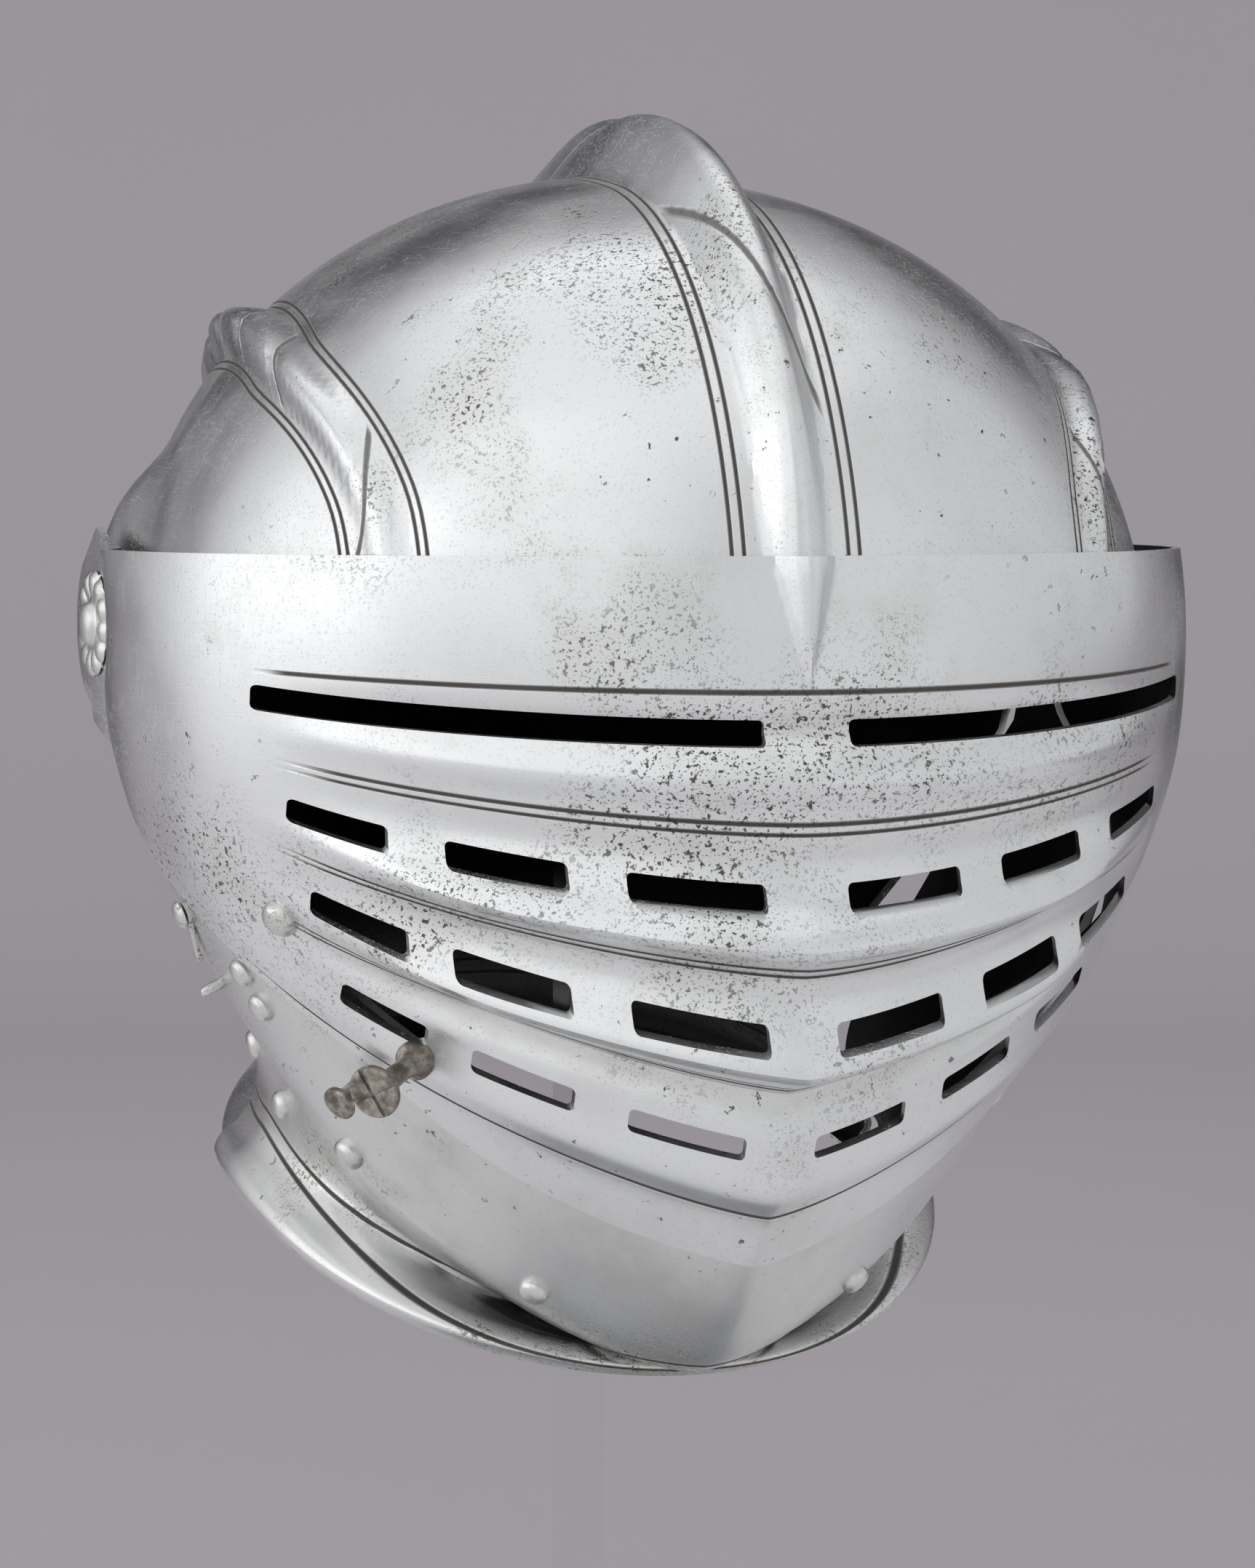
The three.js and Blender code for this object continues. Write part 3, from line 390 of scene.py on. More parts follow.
SKULL_LINE = (hub_arc(HUB_RADIUS, 266, 392, 24)
              + [(60, 14), (FAR, 24), (FAR, FAR), (-FAR, FAR), (-FAR, -FAR), (-1, -FAR), (-1, -18)])

# %% [markdown]
# The neck is drawn another way, as rings round an upright axis, because it closes to a waist and
# then flares to a rim. Each ring has its heights at the side, the front and the back, and how far
# it has left the plate above for the oval of the neck.

# %% Rings of the neck, and a tube of plate through them
NECK_RINGS = [  # number, side, front, back, width, leave, chin
    (0, -0.02, -0.28, -0.10, 1.4, 0, 0), (1, -0.18, -0.50, -0.22, 1.35, 0, 0),
    (2, -0.34, -0.74, -0.34, 1.25, 0, 0), (3, -0.50, -0.95, -0.46, 1.15, 0.10, 0),
    (4, -0.64, -1.11, -0.56, 1.08, 0.38, 0),
    (5, -0.76, -1.22, -0.65, 1.03, 0.68, 0), (6, -0.86, -1.29, -0.73, 1.0, 0.90, 0.04),
    (7, -0.93, -1.315, -0.79, 0.99, 1, 0.45), (8, -0.985, -1.29, -0.845, 1.0, 1, 1),
    (9, -1.03, -1.275, -0.89, 1.04, 1, 1), (10, -1.06, -1.283, -0.925, 1.095, 1, 1),
    (11, -1.095, -1.295, -0.96, 1.115, 1, 1), (12, -1.13, -1.31, -0.995, 1.085, 1, 1),
    (13, -1.15, -1.325, -1.015, 1.045, 1, 1)]
NECK_DROP, NECK_HALF_WIDTH, NECK_FORWARD, CHIN_DROP = 104.0, 68.0, 14.0, 137.0
NECK_FRONT_REACH, NECK_BACK_REACH = 76.0, 74.0
NECK_AXIS = np.array([0, -NECK_FORWARD, 0.0])

def neck_height(ring, plan):
    c = np.cos(np.radians(plan))
    side, front, back = (curve_at(NECK_RINGS, k, ring) for k in (1, 2, 3))
    side = side + np.maximum(0, -ring) * 0.22
    front = front + np.maximum(0, -ring) * 0.08
    share = np.abs(c)**1.3
    return NECK_DROP * (side * (1 - share) + np.where(c > 0, front, back) * share)

def neck_surface(body, under, inset, hub_x):
    def surface(plan_degrees, ring):
        plan = np.radians(plan_degrees)
        c, s = np.cos(plan), np.sin(plan)
        up = neck_height(ring, plan_degrees)
        width, leave, chin = (curve_at(NECK_RINGS, k, ring) for k in (4, 5, 6))
        reach = np.where(c > 0, NECK_FRONT_REACH, NECK_BACK_REACH) * width
        oval = 1 / np.hypot(c / reach, s / (NECK_HALF_WIDTH * width)) - under
        leave = np.clip(np.where(c > 0, leave + (chin - leave) * smooth(c, 0.15, 0.92), leave), 0, 1)
        way = np.stack([s, -c, 0 * s], axis=1)
        start = NECK_AXIS + np.stack([0 * s, 0 * s, np.maximum(up, -CHIN_DROP)], axis=1)
        out = (stretch_to(body, start, way) - inset) * (1 - leave) + oval * leave
        p = NECK_AXIS + way * out[:, None]
        p[:, 2] = up
        return flatten_hub(p, hub_x)
    return surface

def neck_tube(name, surface, plans, rings):
    """Down the outside, round the rim and up the inside, as one grid rolled into a tube."""
    bm = bmesh.new()
    n = len(rings)
    column, row = grid_numbers(bm, len(plans) - 1, 2 * n)
    row = row % (2 * n)
    ring = np.where(row < n, rings[np.minimum(row, n - 1)], rings[np.clip(2 * n - 1 - row, 0, n - 1)])
    plan = plans[column] % 360
    p = surface(plan, ring)
    around = surface(plan + 1.5, ring) - surface(plan - 1.5, ring)
    after, before = np.minimum(ring + 0.15, rings[-1]), np.maximum(ring - 0.15, rings[0])
    normal = np.cross(around, surface(plan, after) - surface(plan, before))
    normal /= np.maximum(np.linalg.norm(normal, axis=1), 1e-9)[:, None]
    level = (p - NECK_AXIS) * [1, 1, 0]
    normal *= np.sign(np.median((normal * level).sum(axis=1)))
    p = p - normal * np.where(row < n, 0, PLATE)[:, None]
    lay(bm, p)
    bm.verts.index_update()
    mark_inside(bm, lambda face: all(row[v.index] >= n for v in face.verts))
    outward(bm)
    return as_object(bm, name)

# %% [markdown]
# Now the three plates. The vertices gather where the relief is: every half degree over the ridges
# of the visor and over the combs, and further apart on the plain cheeks.

# %% Where the vertices gather
def stops(*parts):
    """Joins (start, end, step) runs into one rising list."""
    runs = [np.arange(a, b - 1e-6, s) for a, b, s in parts]
    return np.append(np.concatenate(runs), parts[-1][1])

VISOR_TURNS = stops((-180, -60, 6), (-60, -40, 2), (-40, 8, 0.6), (8, 30, 1.2), (30, 60, 5), (60, 180, 10))
VISOR_SIDES = stops((-90, -78, 2), (-78, -8, 1.2), (-8, 8, 0.4), (8, 78, 1.2), (78, 90, 2))
INNER_TURNS = stops((-180, -60, 6), (-60, -40, 2), (-40, 8, 1.2), (8, 30, 2.4), (30, 60, 5), (60, 180, 10))
INNER_SIDES = stops((-90, -78, 2), (-78, 78, 2), (78, 90, 2))
SIGHT_ANGLE, SIGHT_INNER, SIGHT_OUTER = 1.9, 8.6, 96.6
SIGHT_HEIGHT, SLOT_HEIGHT = 5, 4.7
SLOT_ROWS = [  # angle, then the inner and outer place of three slots
    (-9.8, (8.3, 33.9), (44.2, 65.1), (74.4, 90.3)), (-19.2, (6.9, 31.7), (42.1, 62.1), (69.3, 84.9)),
    (-28.3, (7.1, 28.4), (37.9, 55.7), (63.1, 77.4))]

# %% The visor
visor = closed_skin("visor_plate_shell", visor_surface, VISOR_TURNS, VISOR_SIDES, 0)
steps = [("DIFFERENCE", closed_skin("visor_inside", visor_surface, INNER_TURNS, INNER_SIDES, PLATE)),
         ("INTERSECT", side_block(VISOR_LINE)), ("DIFFERENCE", pin_bore())]
for hand in (-1, 1):
    cuts = [(SIGHT_ANGLE, SIGHT_INNER, SIGHT_OUTER, SIGHT_HEIGHT)]
    cuts += [(angle, *slot, SLOT_HEIGHT) for angle, *slots in SLOT_ROWS for slot in slots]
    steps += [("DIFFERENCE", slot_bar(angle, hand * a, hand * b, height)) for angle, a, b, height in cuts]
cut(visor, steps)
print("visor:", len(visor.data.polygons), "faces")

# %% The skull, with the back half of the neck
SKULL_SIDES = stops((-90, -78, 2), (-78, -60, 2), (-60, -25, 0.8), (-25, -8, 2), (-8, 8, 0.5),
                    (8, 25, 2), (25, 60, 0.8), (60, 78, 2), (78, 90, 2))
SKULL_TURNS = stops((-180, -30, 5), (-30, 0, 3), (0, 180, 1.5))
skull = closed_skin("skull_bowl", skull_surface, SKULL_TURNS, SKULL_SIDES, 0)
skull_inside = closed_skin("skull_inside", skull_inner_surface, stops((-180, -30, 5), (-30, 180, 3)),
                           INNER_SIDES, PLATE)
band = [(FAR, -21.5), (FAR, FAR), (-FAR, FAR), (-FAR, -21.5)]
below = [(-FAR, -20), (-FAR, -FAR), (FAR, -FAR), (FAR, -20)]
nape = neck_tube("nape", neck_surface(skull_body, PLATE + GAP, 0.03, SKULL_AT_HUB - 0.03),
                 np.linspace(0, 360, 181), stops((0, 9, 0.35), (9, 13, 0.2)))
cut(nape, [("INTERSECT", side_block(below))])
cut(skull, [("DIFFERENCE", skull_inside), ("INTERSECT", side_block(band)), ("UNION", nape),
            ("INTERSECT", side_block(SKULL_LINE)), ("DIFFERENCE", pin_bore())])
print("skull:", len(skull.data.polygons), "faces")

# %% The bevor, drawn wholly as rings, from the hub down to the rim
OUTSIDE = PLATE + VISOR_GAP
bevor = neck_tube("bevor_plate_shell", neck_surface(bevor_body, 0, OUTSIDE + 0.1, BEVOR_AT_HUB),
                  np.linspace(0, 360, 217), stops((-1, 9, 0.25), (9, 13, 0.2)))
cut(bevor, [("INTERSECT", side_block(BEVOR_LINE)), ("DIFFERENCE", pin_bore())])
print("bevor:", len(bevor.data.polygons), "faces")

# %% [markdown]
# A shader can draw what is too fine for the mesh, if it knows where it is on the plate. So each
# vertex keeps a few numbers in attributes: its angle about the pivots, its distance in millimetres
# from the middle comb and from the side comb, how far along the comb it is, and its height over
# the waist of the neck. The engraved lines and the strands of the cords are drawn from these.

# %% Numbers kept on the vertices, hard edges, and the move on to the post
def keep_numbers(mesh, **numbers):
    for name, values in numbers.items():
        layer = mesh.attributes.new(name, "FLOAT", "POINT")
        layer.data.foreach_set("value", np.ascontiguousarray(values, dtype=np.float32))

def places_of(mesh):
    flat = np.empty(len(mesh.vertices) * 3, dtype=np.float32)
    mesh.vertices.foreach_get("co", flat)
    return flat.reshape(-1, 3).astype(float)

def number_plate(obj):
    p = places_of(obj.data)
    turn = np.degrees(np.arctan2(p[:, 2], -p[:, 1]))
    turn = np.where(turn < -60, turn + 360, turn)
    d = np.linalg.norm(p, axis=1)
    side = np.degrees(np.arcsin(np.clip(p[:, 0] / d, -1, 1)))
    middle, beside, along = comb_places(turn, side, d)
    plan = np.degrees(np.arctan2(p[:, 0], -p[:, 1] - NECK_FORWARD))
    waist = p[:, 2] - neck_height(np.full(len(p), 8.0), plan)
    front = np.where(turn > 180, turn - 360, turn)
    # how far a point lies below the ridges beside it; the visor's colour is darkened from it as painted
    # shade in the valleys
    hollow = -bellows_rise(front, p[:, 0]) / BELLOWS_DEPTH
    size = np.clip(curve_at(COMB_PATH, 2, turn), 0, 1) * (turn > 3)
    side_size = np.clip(curve_at(SIDE_COMB_PATH, 2, turn), 0, 1) * (turn > -10)
    in_front = 1 - smooth(np.abs(p[:, 0]), 66, 98)
    keep_numbers(obj.data, in_front=in_front, turn=front, middle=middle, beside=beside, along=along,
                 waist=waist, hollow=hollow, comb_size=size, side_comb_size=side_size)

def sharpen(mesh, angle=38):
    bm = bmesh.new()
    bm.from_mesh(mesh)
    bmesh.ops.dissolve_degenerate(bm, edges=bm.edges, dist=1e-3)
    for f in bm.faces:
        f.smooth = True
    for e in bm.edges:
        e.smooth = not e.is_manifold or e.calc_face_angle(0) < math.radians(angle)
    bm.to_mesh(mesh)
    bm.free()

def onto_post(obj, body, *nodes, slot=None):
    """A finished piece: in metres, nodded, on its body, in the place of its solid nodes."""
    obj.data.transform(TO_ROW)
    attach(obj, body)
    if nodes:
        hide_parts(*nodes)

def tree_of(obj):
    bm = bmesh.new()
    bm.from_mesh(obj.data)
    tree = BVHTree.FromBMesh(bm)
    bm.free()
    return tree

for plate in (visor, skull, bevor):
    sharpen(plate.data)
    number_plate(plate)
visor_tree, bevor_tree = tree_of(visor), tree_of(bevor)
print("numbered:", visor.name, skull.name, bevor.name)

# %% [markdown]
# Rivets, rosettes, the peg and the button are turned shapes: a line of points spun round an axis.
# Each one sits where a straight line from the side meets its plate, and stands square on it there.

# %% Spun fittings, and seats on the plates
def spun(name, profile, segments=40):
    """A closed turned shape about +Z from (radius, height) points, in mm."""
    bm = bmesh.new()
    chain = [bm.verts.new((max(r, 0), 0, z)) for r, z in profile]
    edges = [bm.edges.new(pair) for pair in zip(chain, chain[1:])]
    bmesh.ops.spin(bm, geom=chain + edges, cent=(0, 0, 0), axis=(0, 0, 1), angle=2 * math.pi,
                   steps=segments, use_merge=True)
    outward(bm)
    return as_object(bm, name)

def rounded(profile, times=2, near=0.22):
    """Cuts the corners of a profile, but keeps its ends."""
    far = 1 - near
    for _ in range(times):
        line = [profile[0]]
        for (r0, z0), (r1, z1) in zip(profile, profile[1:]):
            line += [(r0 * a + r1 * b, z0 * a + z1 * b) for a, b in ((far, near), (near, far))]
        profile = line + [profile[-1]]
    return profile

def seat_on(tree, hand, forward, up):
    where, normal, _, _ = tree.ray_cast(Vector((hand * 330, -forward, up)), Vector((-hand, 0, 0)))
    return where, normal

def stand_on(obj, where, normal, lift, turn=0.0):
    """Stands a spun shape on a seat, with its own up as near as it goes to the helmet's."""
    upward = (Vector((0, 0, 1)) - normal * normal.z).normalized()
    across = upward.cross(normal)
    place = Matrix((across, upward, normal)).transposed().to_4x4()
    place.translation = where + normal * lift
    obj.data.transform(place @ Matrix.Rotation(turn, 4, "Z"))

RIVET_RADIUS, RIVET_HEIGHT, SPUN_EDGE = 3.2, 2.2, 32
DOME = rounded([(0, -0.9), (1, -0.9), (1, 0.05), (0.97, 0.34), (0.80, 0.72), (0.46, 0.94), (0, 1.0)], 2)
BEVOR_RIVETS = [  # hand, forward, up, size
    (-1, 69, -58, 1), (-1, 70, -65, 1), (-1, 8, -88, 1), (-1, 24.8, -97, 1), (-1, 74, -94.6, 1.1),
    (-1, 97.7, -117.6, 1), (1, 99, -79, 1), (1, 24.8, -97, 1), (1, 97.7, -117.6, 1)]
RIVETS = [("visor_rivet", visor_tree, "visor_plate", -1, 94, -41.3, 1.25)]
RIVETS += [(f"bevor_rivet_{n}", bevor_tree, "bevor_plate", *row) for n, row in enumerate(BEVOR_RIVETS, 1)]
rivet_heads = []
for name, tree, body, hand, forward, up, size in RIVETS:
    head = spun("head_" + name, [(r * RIVET_RADIUS * size, z * RIVET_HEIGHT * size) for r, z in DOME])
    where, normal = seat_on(tree, hand, forward, up)
    stand_on(head, where, normal, 0.1)
    sharpen(head.data, SPUN_EDGE)
    onto_post(head, body, name, slot="rivet_steel")
    rivet_heads.append(head)
print("rivets:", len(rivet_heads))

# %% [markdown]
# The pivots are the helmet's only ornaments beside the combs: a low boss in the middle of a small
# rosette. The petals come from pushing the rim of a spun disc up and down as it goes round.

# %% Rosettes on the pivots
def rosette(name, hand, node):
    top, low = VISOR_AT_HUB + 0.3, SKULL_AT_HUB - PLATE - 0.3
    disc = rounded([(0, low - 1.4), (5, low - 1.4), (5, low), (3, low), (3, top), (11, top),
                    (11.1, top + 0.5), (9.6, top + 1.5), (7.2, top + 1.5), (5.2, top + 0.75),
                    (4.6, top + 1.0), (4.1, top + 2.3), (2.2, top + 3.1), (0, top + 3.2)], 1)
    obj = spun(name, disc, 96)
    p = places_of(obj.data)
    r, round_about = np.hypot(p[:, 0], p[:, 1]), np.arctan2(p[:, 1], p[:, 0])
    petal = np.abs(np.cos(6 * round_about))**0.6
    outer = smooth(r, 5.0, 6.5) * (p[:, 2] > top + 0.2)
    p[:, 2] -= outer * 0.75 * (1 - petal)
    scale = 1 - 0.09 * (1 - petal) * smooth(r, 8.5, 11) * (p[:, 2] > top - 0.1)
    p[:, :2] *= scale[:, None]
    obj.data.vertices.foreach_set("co", p.astype(np.float32).ravel())
    sharpen(obj.data, 40)
    obj.data.transform(Matrix.Rotation(hand * math.pi / 2, 4, "Y"))
    onto_post(obj, "helmet_and_stand", node, slot="rivet_steel")
    return obj

rosettes = [rosette("rosette_right", -1, "pivot_right"), rosette("rosette_left", 1, "pivot_left")]
print("rosettes:", len(rosettes))

# %% [markdown]
# The peg lifts the visor and the button lets it go. Both have gone brown where the plates were
# kept bright. The peg's flat head has a cross cut in it, made with two thin bars.

# %% The lifting peg and the catch button
PEG_RADIUS, PEG_LENGTH = 5.4, 17.0
peg_line = rounded([(0, -0.06), (0.72, -0.06), (0.74, 0.05), (0.66, 0.10), (0.50, 0.12), (0.40, 0.20),
                    (0.38, 0.40), (0.42, 0.62), (0.60, 0.80), (0.98, 0.885), (1, 0.93), (0.98, 0.975),
                    (0.86, 1.0), (0, 1.0)])
peg = spun("peg", [(r * PEG_RADIUS, z * PEG_LENGTH) for r, z in peg_line], 56)

def groove_bar(width, length, deep=0.6):
    return as_object(block((width, length, 2 * deep), (0, 0, PEG_LENGTH)), "groove")

cut(peg, [("DIFFERENCE", groove_bar(0.9, 14)), ("DIFFERENCE", groove_bar(14, 0.9))])
stand_on(peg, *seat_on(visor_tree, -1, 112, -66), 0.2, math.radians(30))
sharpen(peg.data, SPUN_EDGE)
onto_post(peg, "visor_plate", "lifting_peg", slot="browned_steel")

button_line = rounded([(0, -3.2), (1.8, -3.2), (1.8, 3.2), (1.9, 4.6), (2.5, 5.6), (3.5, 6.3), (3.6, 7.0),
                       (3.5, 7.6), (2.9, 7.95), (0, 8.0)])
button = spun("button_knob", button_line, 44)
button_seat = seat_on(bevor_tree, -1, 90, -76)
stand_on(button, *button_seat, 0)
sharpen(button.data, SPUN_EDGE)
onto_post(button, "button", "catch_button", slot="browned_steel")
BORE_RADIUS = 2.1
bore = spun("button_bore", [(0, -5), (BORE_RADIUS, -5), (BORE_RADIUS, 5), (0, 5)], 24)
stand_on(bore, *button_seat, 0)
cut(bevor, [("DIFFERENCE", bore)])
sharpen(bevor.data)
print("peg and button done; the bevor's bore is", 2 * BORE_RADIUS, "mm across")

# %% [markdown]
# The little hook below the right pivot hangs from a rivet and drops over a pin. A ring and a bent
# tail are drawn as one flat outline with a hole, pushed to the thickness of a strip of steel, and
# its edges are filed round with a bevel.

# %% The swivel hook, its rivet and its pin
# the hook turns in the model about this line, so it stands square on the line, not on the plate
HOOK_UP = (FROM_ROW @ Vector((-0.09458, -0.04166, 0.21314)),
           (FROM_ROW.to_3x3() @ Vector((-0.94455, -0.05201, -0.32422))).normalized())
HOOK_PIN = seat_on(bevor_tree, -1, 54, -63.5)
HOOK_THICKNESS, HOOK_EYE, HOOK_RING = 1.2, 1.5, 2.4

def circle(radius, angles):
    return [(radius * math.cos(a), radius * math.sin(a)) for a in angles]

def hook_strip(half=1.6):
    bm = bmesh.new()
    ring = circle(HOOK_RING, np.radians(np.linspace(-60, 240, 25)))
    tail = [(-half * 0.7, -6.5), (-half * 0.7, -8.7), (-half * 0.2, -10.5), (half * 0.9, -10.2),
            (half * 1.1, -9.24), (half * 0.45, -9.0), (half * 0.3, -8.0), (half * 0.5, -7.0)]
    rim = [bm.verts.new((x, y, 0)) for x, y in ring + tail]
    hole = [bm.verts.new((x, y, 0)) for x, y in circle(HOOK_EYE, np.linspace(0, 2 * math.pi, 24)[:-1])]
    edges = [bm.edges.new(pair) for loop in (rim, hole) for pair in zip(loop, loop[1:] + loop[:1])]
    bmesh.ops.triangle_fill(bm, edges=edges, use_beauty=True)
    bmesh.ops.solidify(bm, geom=bm.faces, thickness=HOOK_THICKNESS)
    outward(bm)
    low = min(v.co.z for v in bm.verts)
    bmesh.ops.translate(bm, verts=bm.verts, vec=(0, 0, -low))
    corners = [e for e in bm.edges if e.is_manifold and e.calc_face_angle(0) > 0.8]
    round_edges(bm, corners, 0.22, 2)
    return as_object(bm, "hook_strip")

hook = hook_strip()
stand_on(hook, *HOOK_UP, 0.6)
sharpen(hook.data, SPUN_EDGE)
onto_post(hook, "hook", "swivel_hook", slot="rivet_steel")
hook_head = spun("hook_rivet_head", rounded([(0, -0.9), (1.1, -0.9), (1.1, 1.95), (3.0, 1.95), (2.9, 2.5),
                                             (1.9, 3.3), (0, 3.6)]))
stand_on(hook_head, *HOOK_UP, 0.35)
pin = spun("pin_of_hook", rounded([(0, -0.5), (1.2, -0.5), (1.2, 3.6), (0.9, 4.7), (0, 5.0)]), 24)
stand_on(pin, *HOOK_PIN, 0.2)
for piece, node in ((hook_head, "hook_rivet"), (pin, "hook_pin")):
    sharpen(piece.data, SPUN_EDGE)
    onto_post(piece, "bevor_plate", node, slot="rivet_steel")
print("hook:", len(hook.data.polygons), "faces")

# %% The plates go on to the post
onto_post(skull, "helmet_and_stand", "skull", slot="skull_steel")
onto_post(bevor, "bevor_plate", "bevor", slot="bevor_steel")
onto_post(visor, "visor_plate", "visor", slot="visor_steel")
print("on the post:", skull.name, bevor.name, visor.name)

# %% [markdown]
# The stand is a sawn and polished bar of clear acrylic let into a square plate of the same. Sawn
# acrylic always has a narrow bright bevel where the edge was scraped, so every edge gets one.

# %% Post and base plate
def clear_block(name, half, low, high, corner, edge):
    bm = block((2 * half, 2 * half, high - low), (0, 0, (low + high) / 2))
    if corner:
        upright = [e for e in bm.edges if abs(e.verts[0].co.z - e.verts[1].co.z) > 1e-6]
        round_edges(bm, upright, corner, 8)
    sharp = [e for e in bm.edges if e.calc_face_angle(0) > math.radians(40)]
    round_edges(bm, sharp, edge, 2)
    rotate_all(bm, FACING_CAMERA)
    bmesh.ops.recalc_face_normals(bm, faces=bm.faces)
    return as_object(bm, name)

HALF_POST, HALF_BASE, BASE_TOP, SEAT = 0.0055, 0.09, 0.012, 0.0003
post_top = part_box("post")[1].z
post = clear_block("clear_post", HALF_POST, BASE_TOP + SEAT, post_top, 0, 0.0004)
base = clear_block("clear_base", HALF_BASE, 0, BASE_TOP, 0.009, 0.0007)
for piece, node in ((post, "post"), (base, "base_plate")):
    sharpen(piece.data, 30)
    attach(piece, "helmet_and_stand")
    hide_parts(node)
print("post up to (m):", round(post_top, 4))

# %% [markdown]
# ## Finishes
# The steel is bright but old. Up close it has four layers: a broad unevenness from the hammer, fine
# scratches from polishing, dark pits where rust once sat, and dirt left in the engraved lines. The
# broad layer is the most important one, for a mirror shows shape by its reflections.

# %% A small kit for shader trees
class Tree:
    """Adds nodes to a material in the order they are wanted."""

    def __init__(self, name):
        self.material = bpy.data.materials.new(name)
        self.material.use_nodes = True
        self.nodes, self.links = self.material.node_tree.nodes, self.material.node_tree.links
        self.shader = self.nodes["Principled BSDF"]
        self.place = self.nodes.new("ShaderNodeTexCoord").outputs["Object"]

    def put(self, socket, value):
        if isinstance(value, bpy.types.NodeSocket):
            self.links.new(value, socket)
        elif value is not None:
            socket.default_value = value

    def sum(self, operation, *values):
        node = self.nodes.new("ShaderNodeMath")
        node.operation = operation
        for socket, value in zip(node.inputs, values):
            self.put(socket, value)
        return node.outputs[0]

    def noise(self, scale, detail=3, rough=0.55, stretch=None, turn=None):
        where = self.place
        if stretch or turn:
            mapping = self.nodes.new("ShaderNodeMapping")
            self.put(mapping.inputs["Vector"], self.place)
            mapping.inputs["Scale"].default_value = stretch or (1, 1, 1)
            mapping.inputs["Rotation"].default_value = turn or (0, 0, 0)
            where = mapping.outputs[0]
        node = self.nodes.new("ShaderNodeTexNoise")
        self.put(node.inputs["Vector"], where)
        for key, value in (("Scale", scale), ("Detail", detail), ("Roughness", rough)):
            node.inputs[key].default_value = value
        return node.outputs["Fac"]

    def times(self, a, b):
        return self.sum("MULTIPLY", a, b)

    def plus(self, a, b):
        return self.sum("ADD", a, b)

    def most(self, a, b):
        return self.sum("MAXIMUM", a, b)

    def between(self, value, low, high, out_low=0.0, out_high=1.0):
        node = self.nodes.new("ShaderNodeMapRange")
        node.interpolation_type = "SMOOTHSTEP"
        keys = ("Value", "From Min", "From Max", "To Min", "To Max")
        for key, v in zip(keys, (value, low, high, out_low, out_high)):
            self.put(node.inputs[key], v)
        return node.outputs["Result"]

    def attribute(self, name):
        node = self.nodes.new("ShaderNodeAttribute")
        node.attribute_name = name
        return node.outputs["Fac"]

    def line(self, value, at, half):
        """1 on a line where value is near at, easing to 0 at half away."""
        off = self.sum("ABSOLUTE", self.sum("SUBTRACT", value, at))
        return self.between(off, half * 0.35, half, 1.0, 0.0)

    def mix(self, share, a, b):
        node = self.nodes.new("ShaderNodeMix")
        node.data_type = "RGBA"
        for socket, value in ((node.inputs[0], share), (node.inputs[6], a), (node.inputs[7], b)):
            self.put(socket, value)
        return node.outputs[2]

    def bump(self, height, distance, strength=1.0, under=None):
        node = self.nodes.new("ShaderNodeBump")
        node.inputs["Strength"].default_value = strength
        node.inputs["Distance"].default_value = distance
        self.put(node.inputs["Height"], height)
        if under:
            self.put(node.inputs["Normal"], under)
        return node.outputs["Normal"]

# %% [markdown]
# Engraved lines are listed by the number they follow: angle in degrees on the visor, distance in
# millimetres beside a comb. Painted shade goes into the valleys between the visor's ridges with the
# grime, and into the grooves between the strands of the cords with the dirt of the engraved lines.
# Where the order of the layers matters, dirt and painted shade lie over the pits, and the scratches
# cross everything but the deepest holes.

# %% Old polished steel
def engraved(tree, lines):
    """All the lines of a list of (number, at, half width, gates): a gate fades a line in."""
    total = 0.0
    for name, at, half, gates in lines:
        one = tree.line(tree.attribute(name), at, half)
        for gate_name, low, high in gates:
            one = tree.times(one, tree.between(tree.attribute(gate_name), low, high))
        total = tree.most(total, one)
    return total

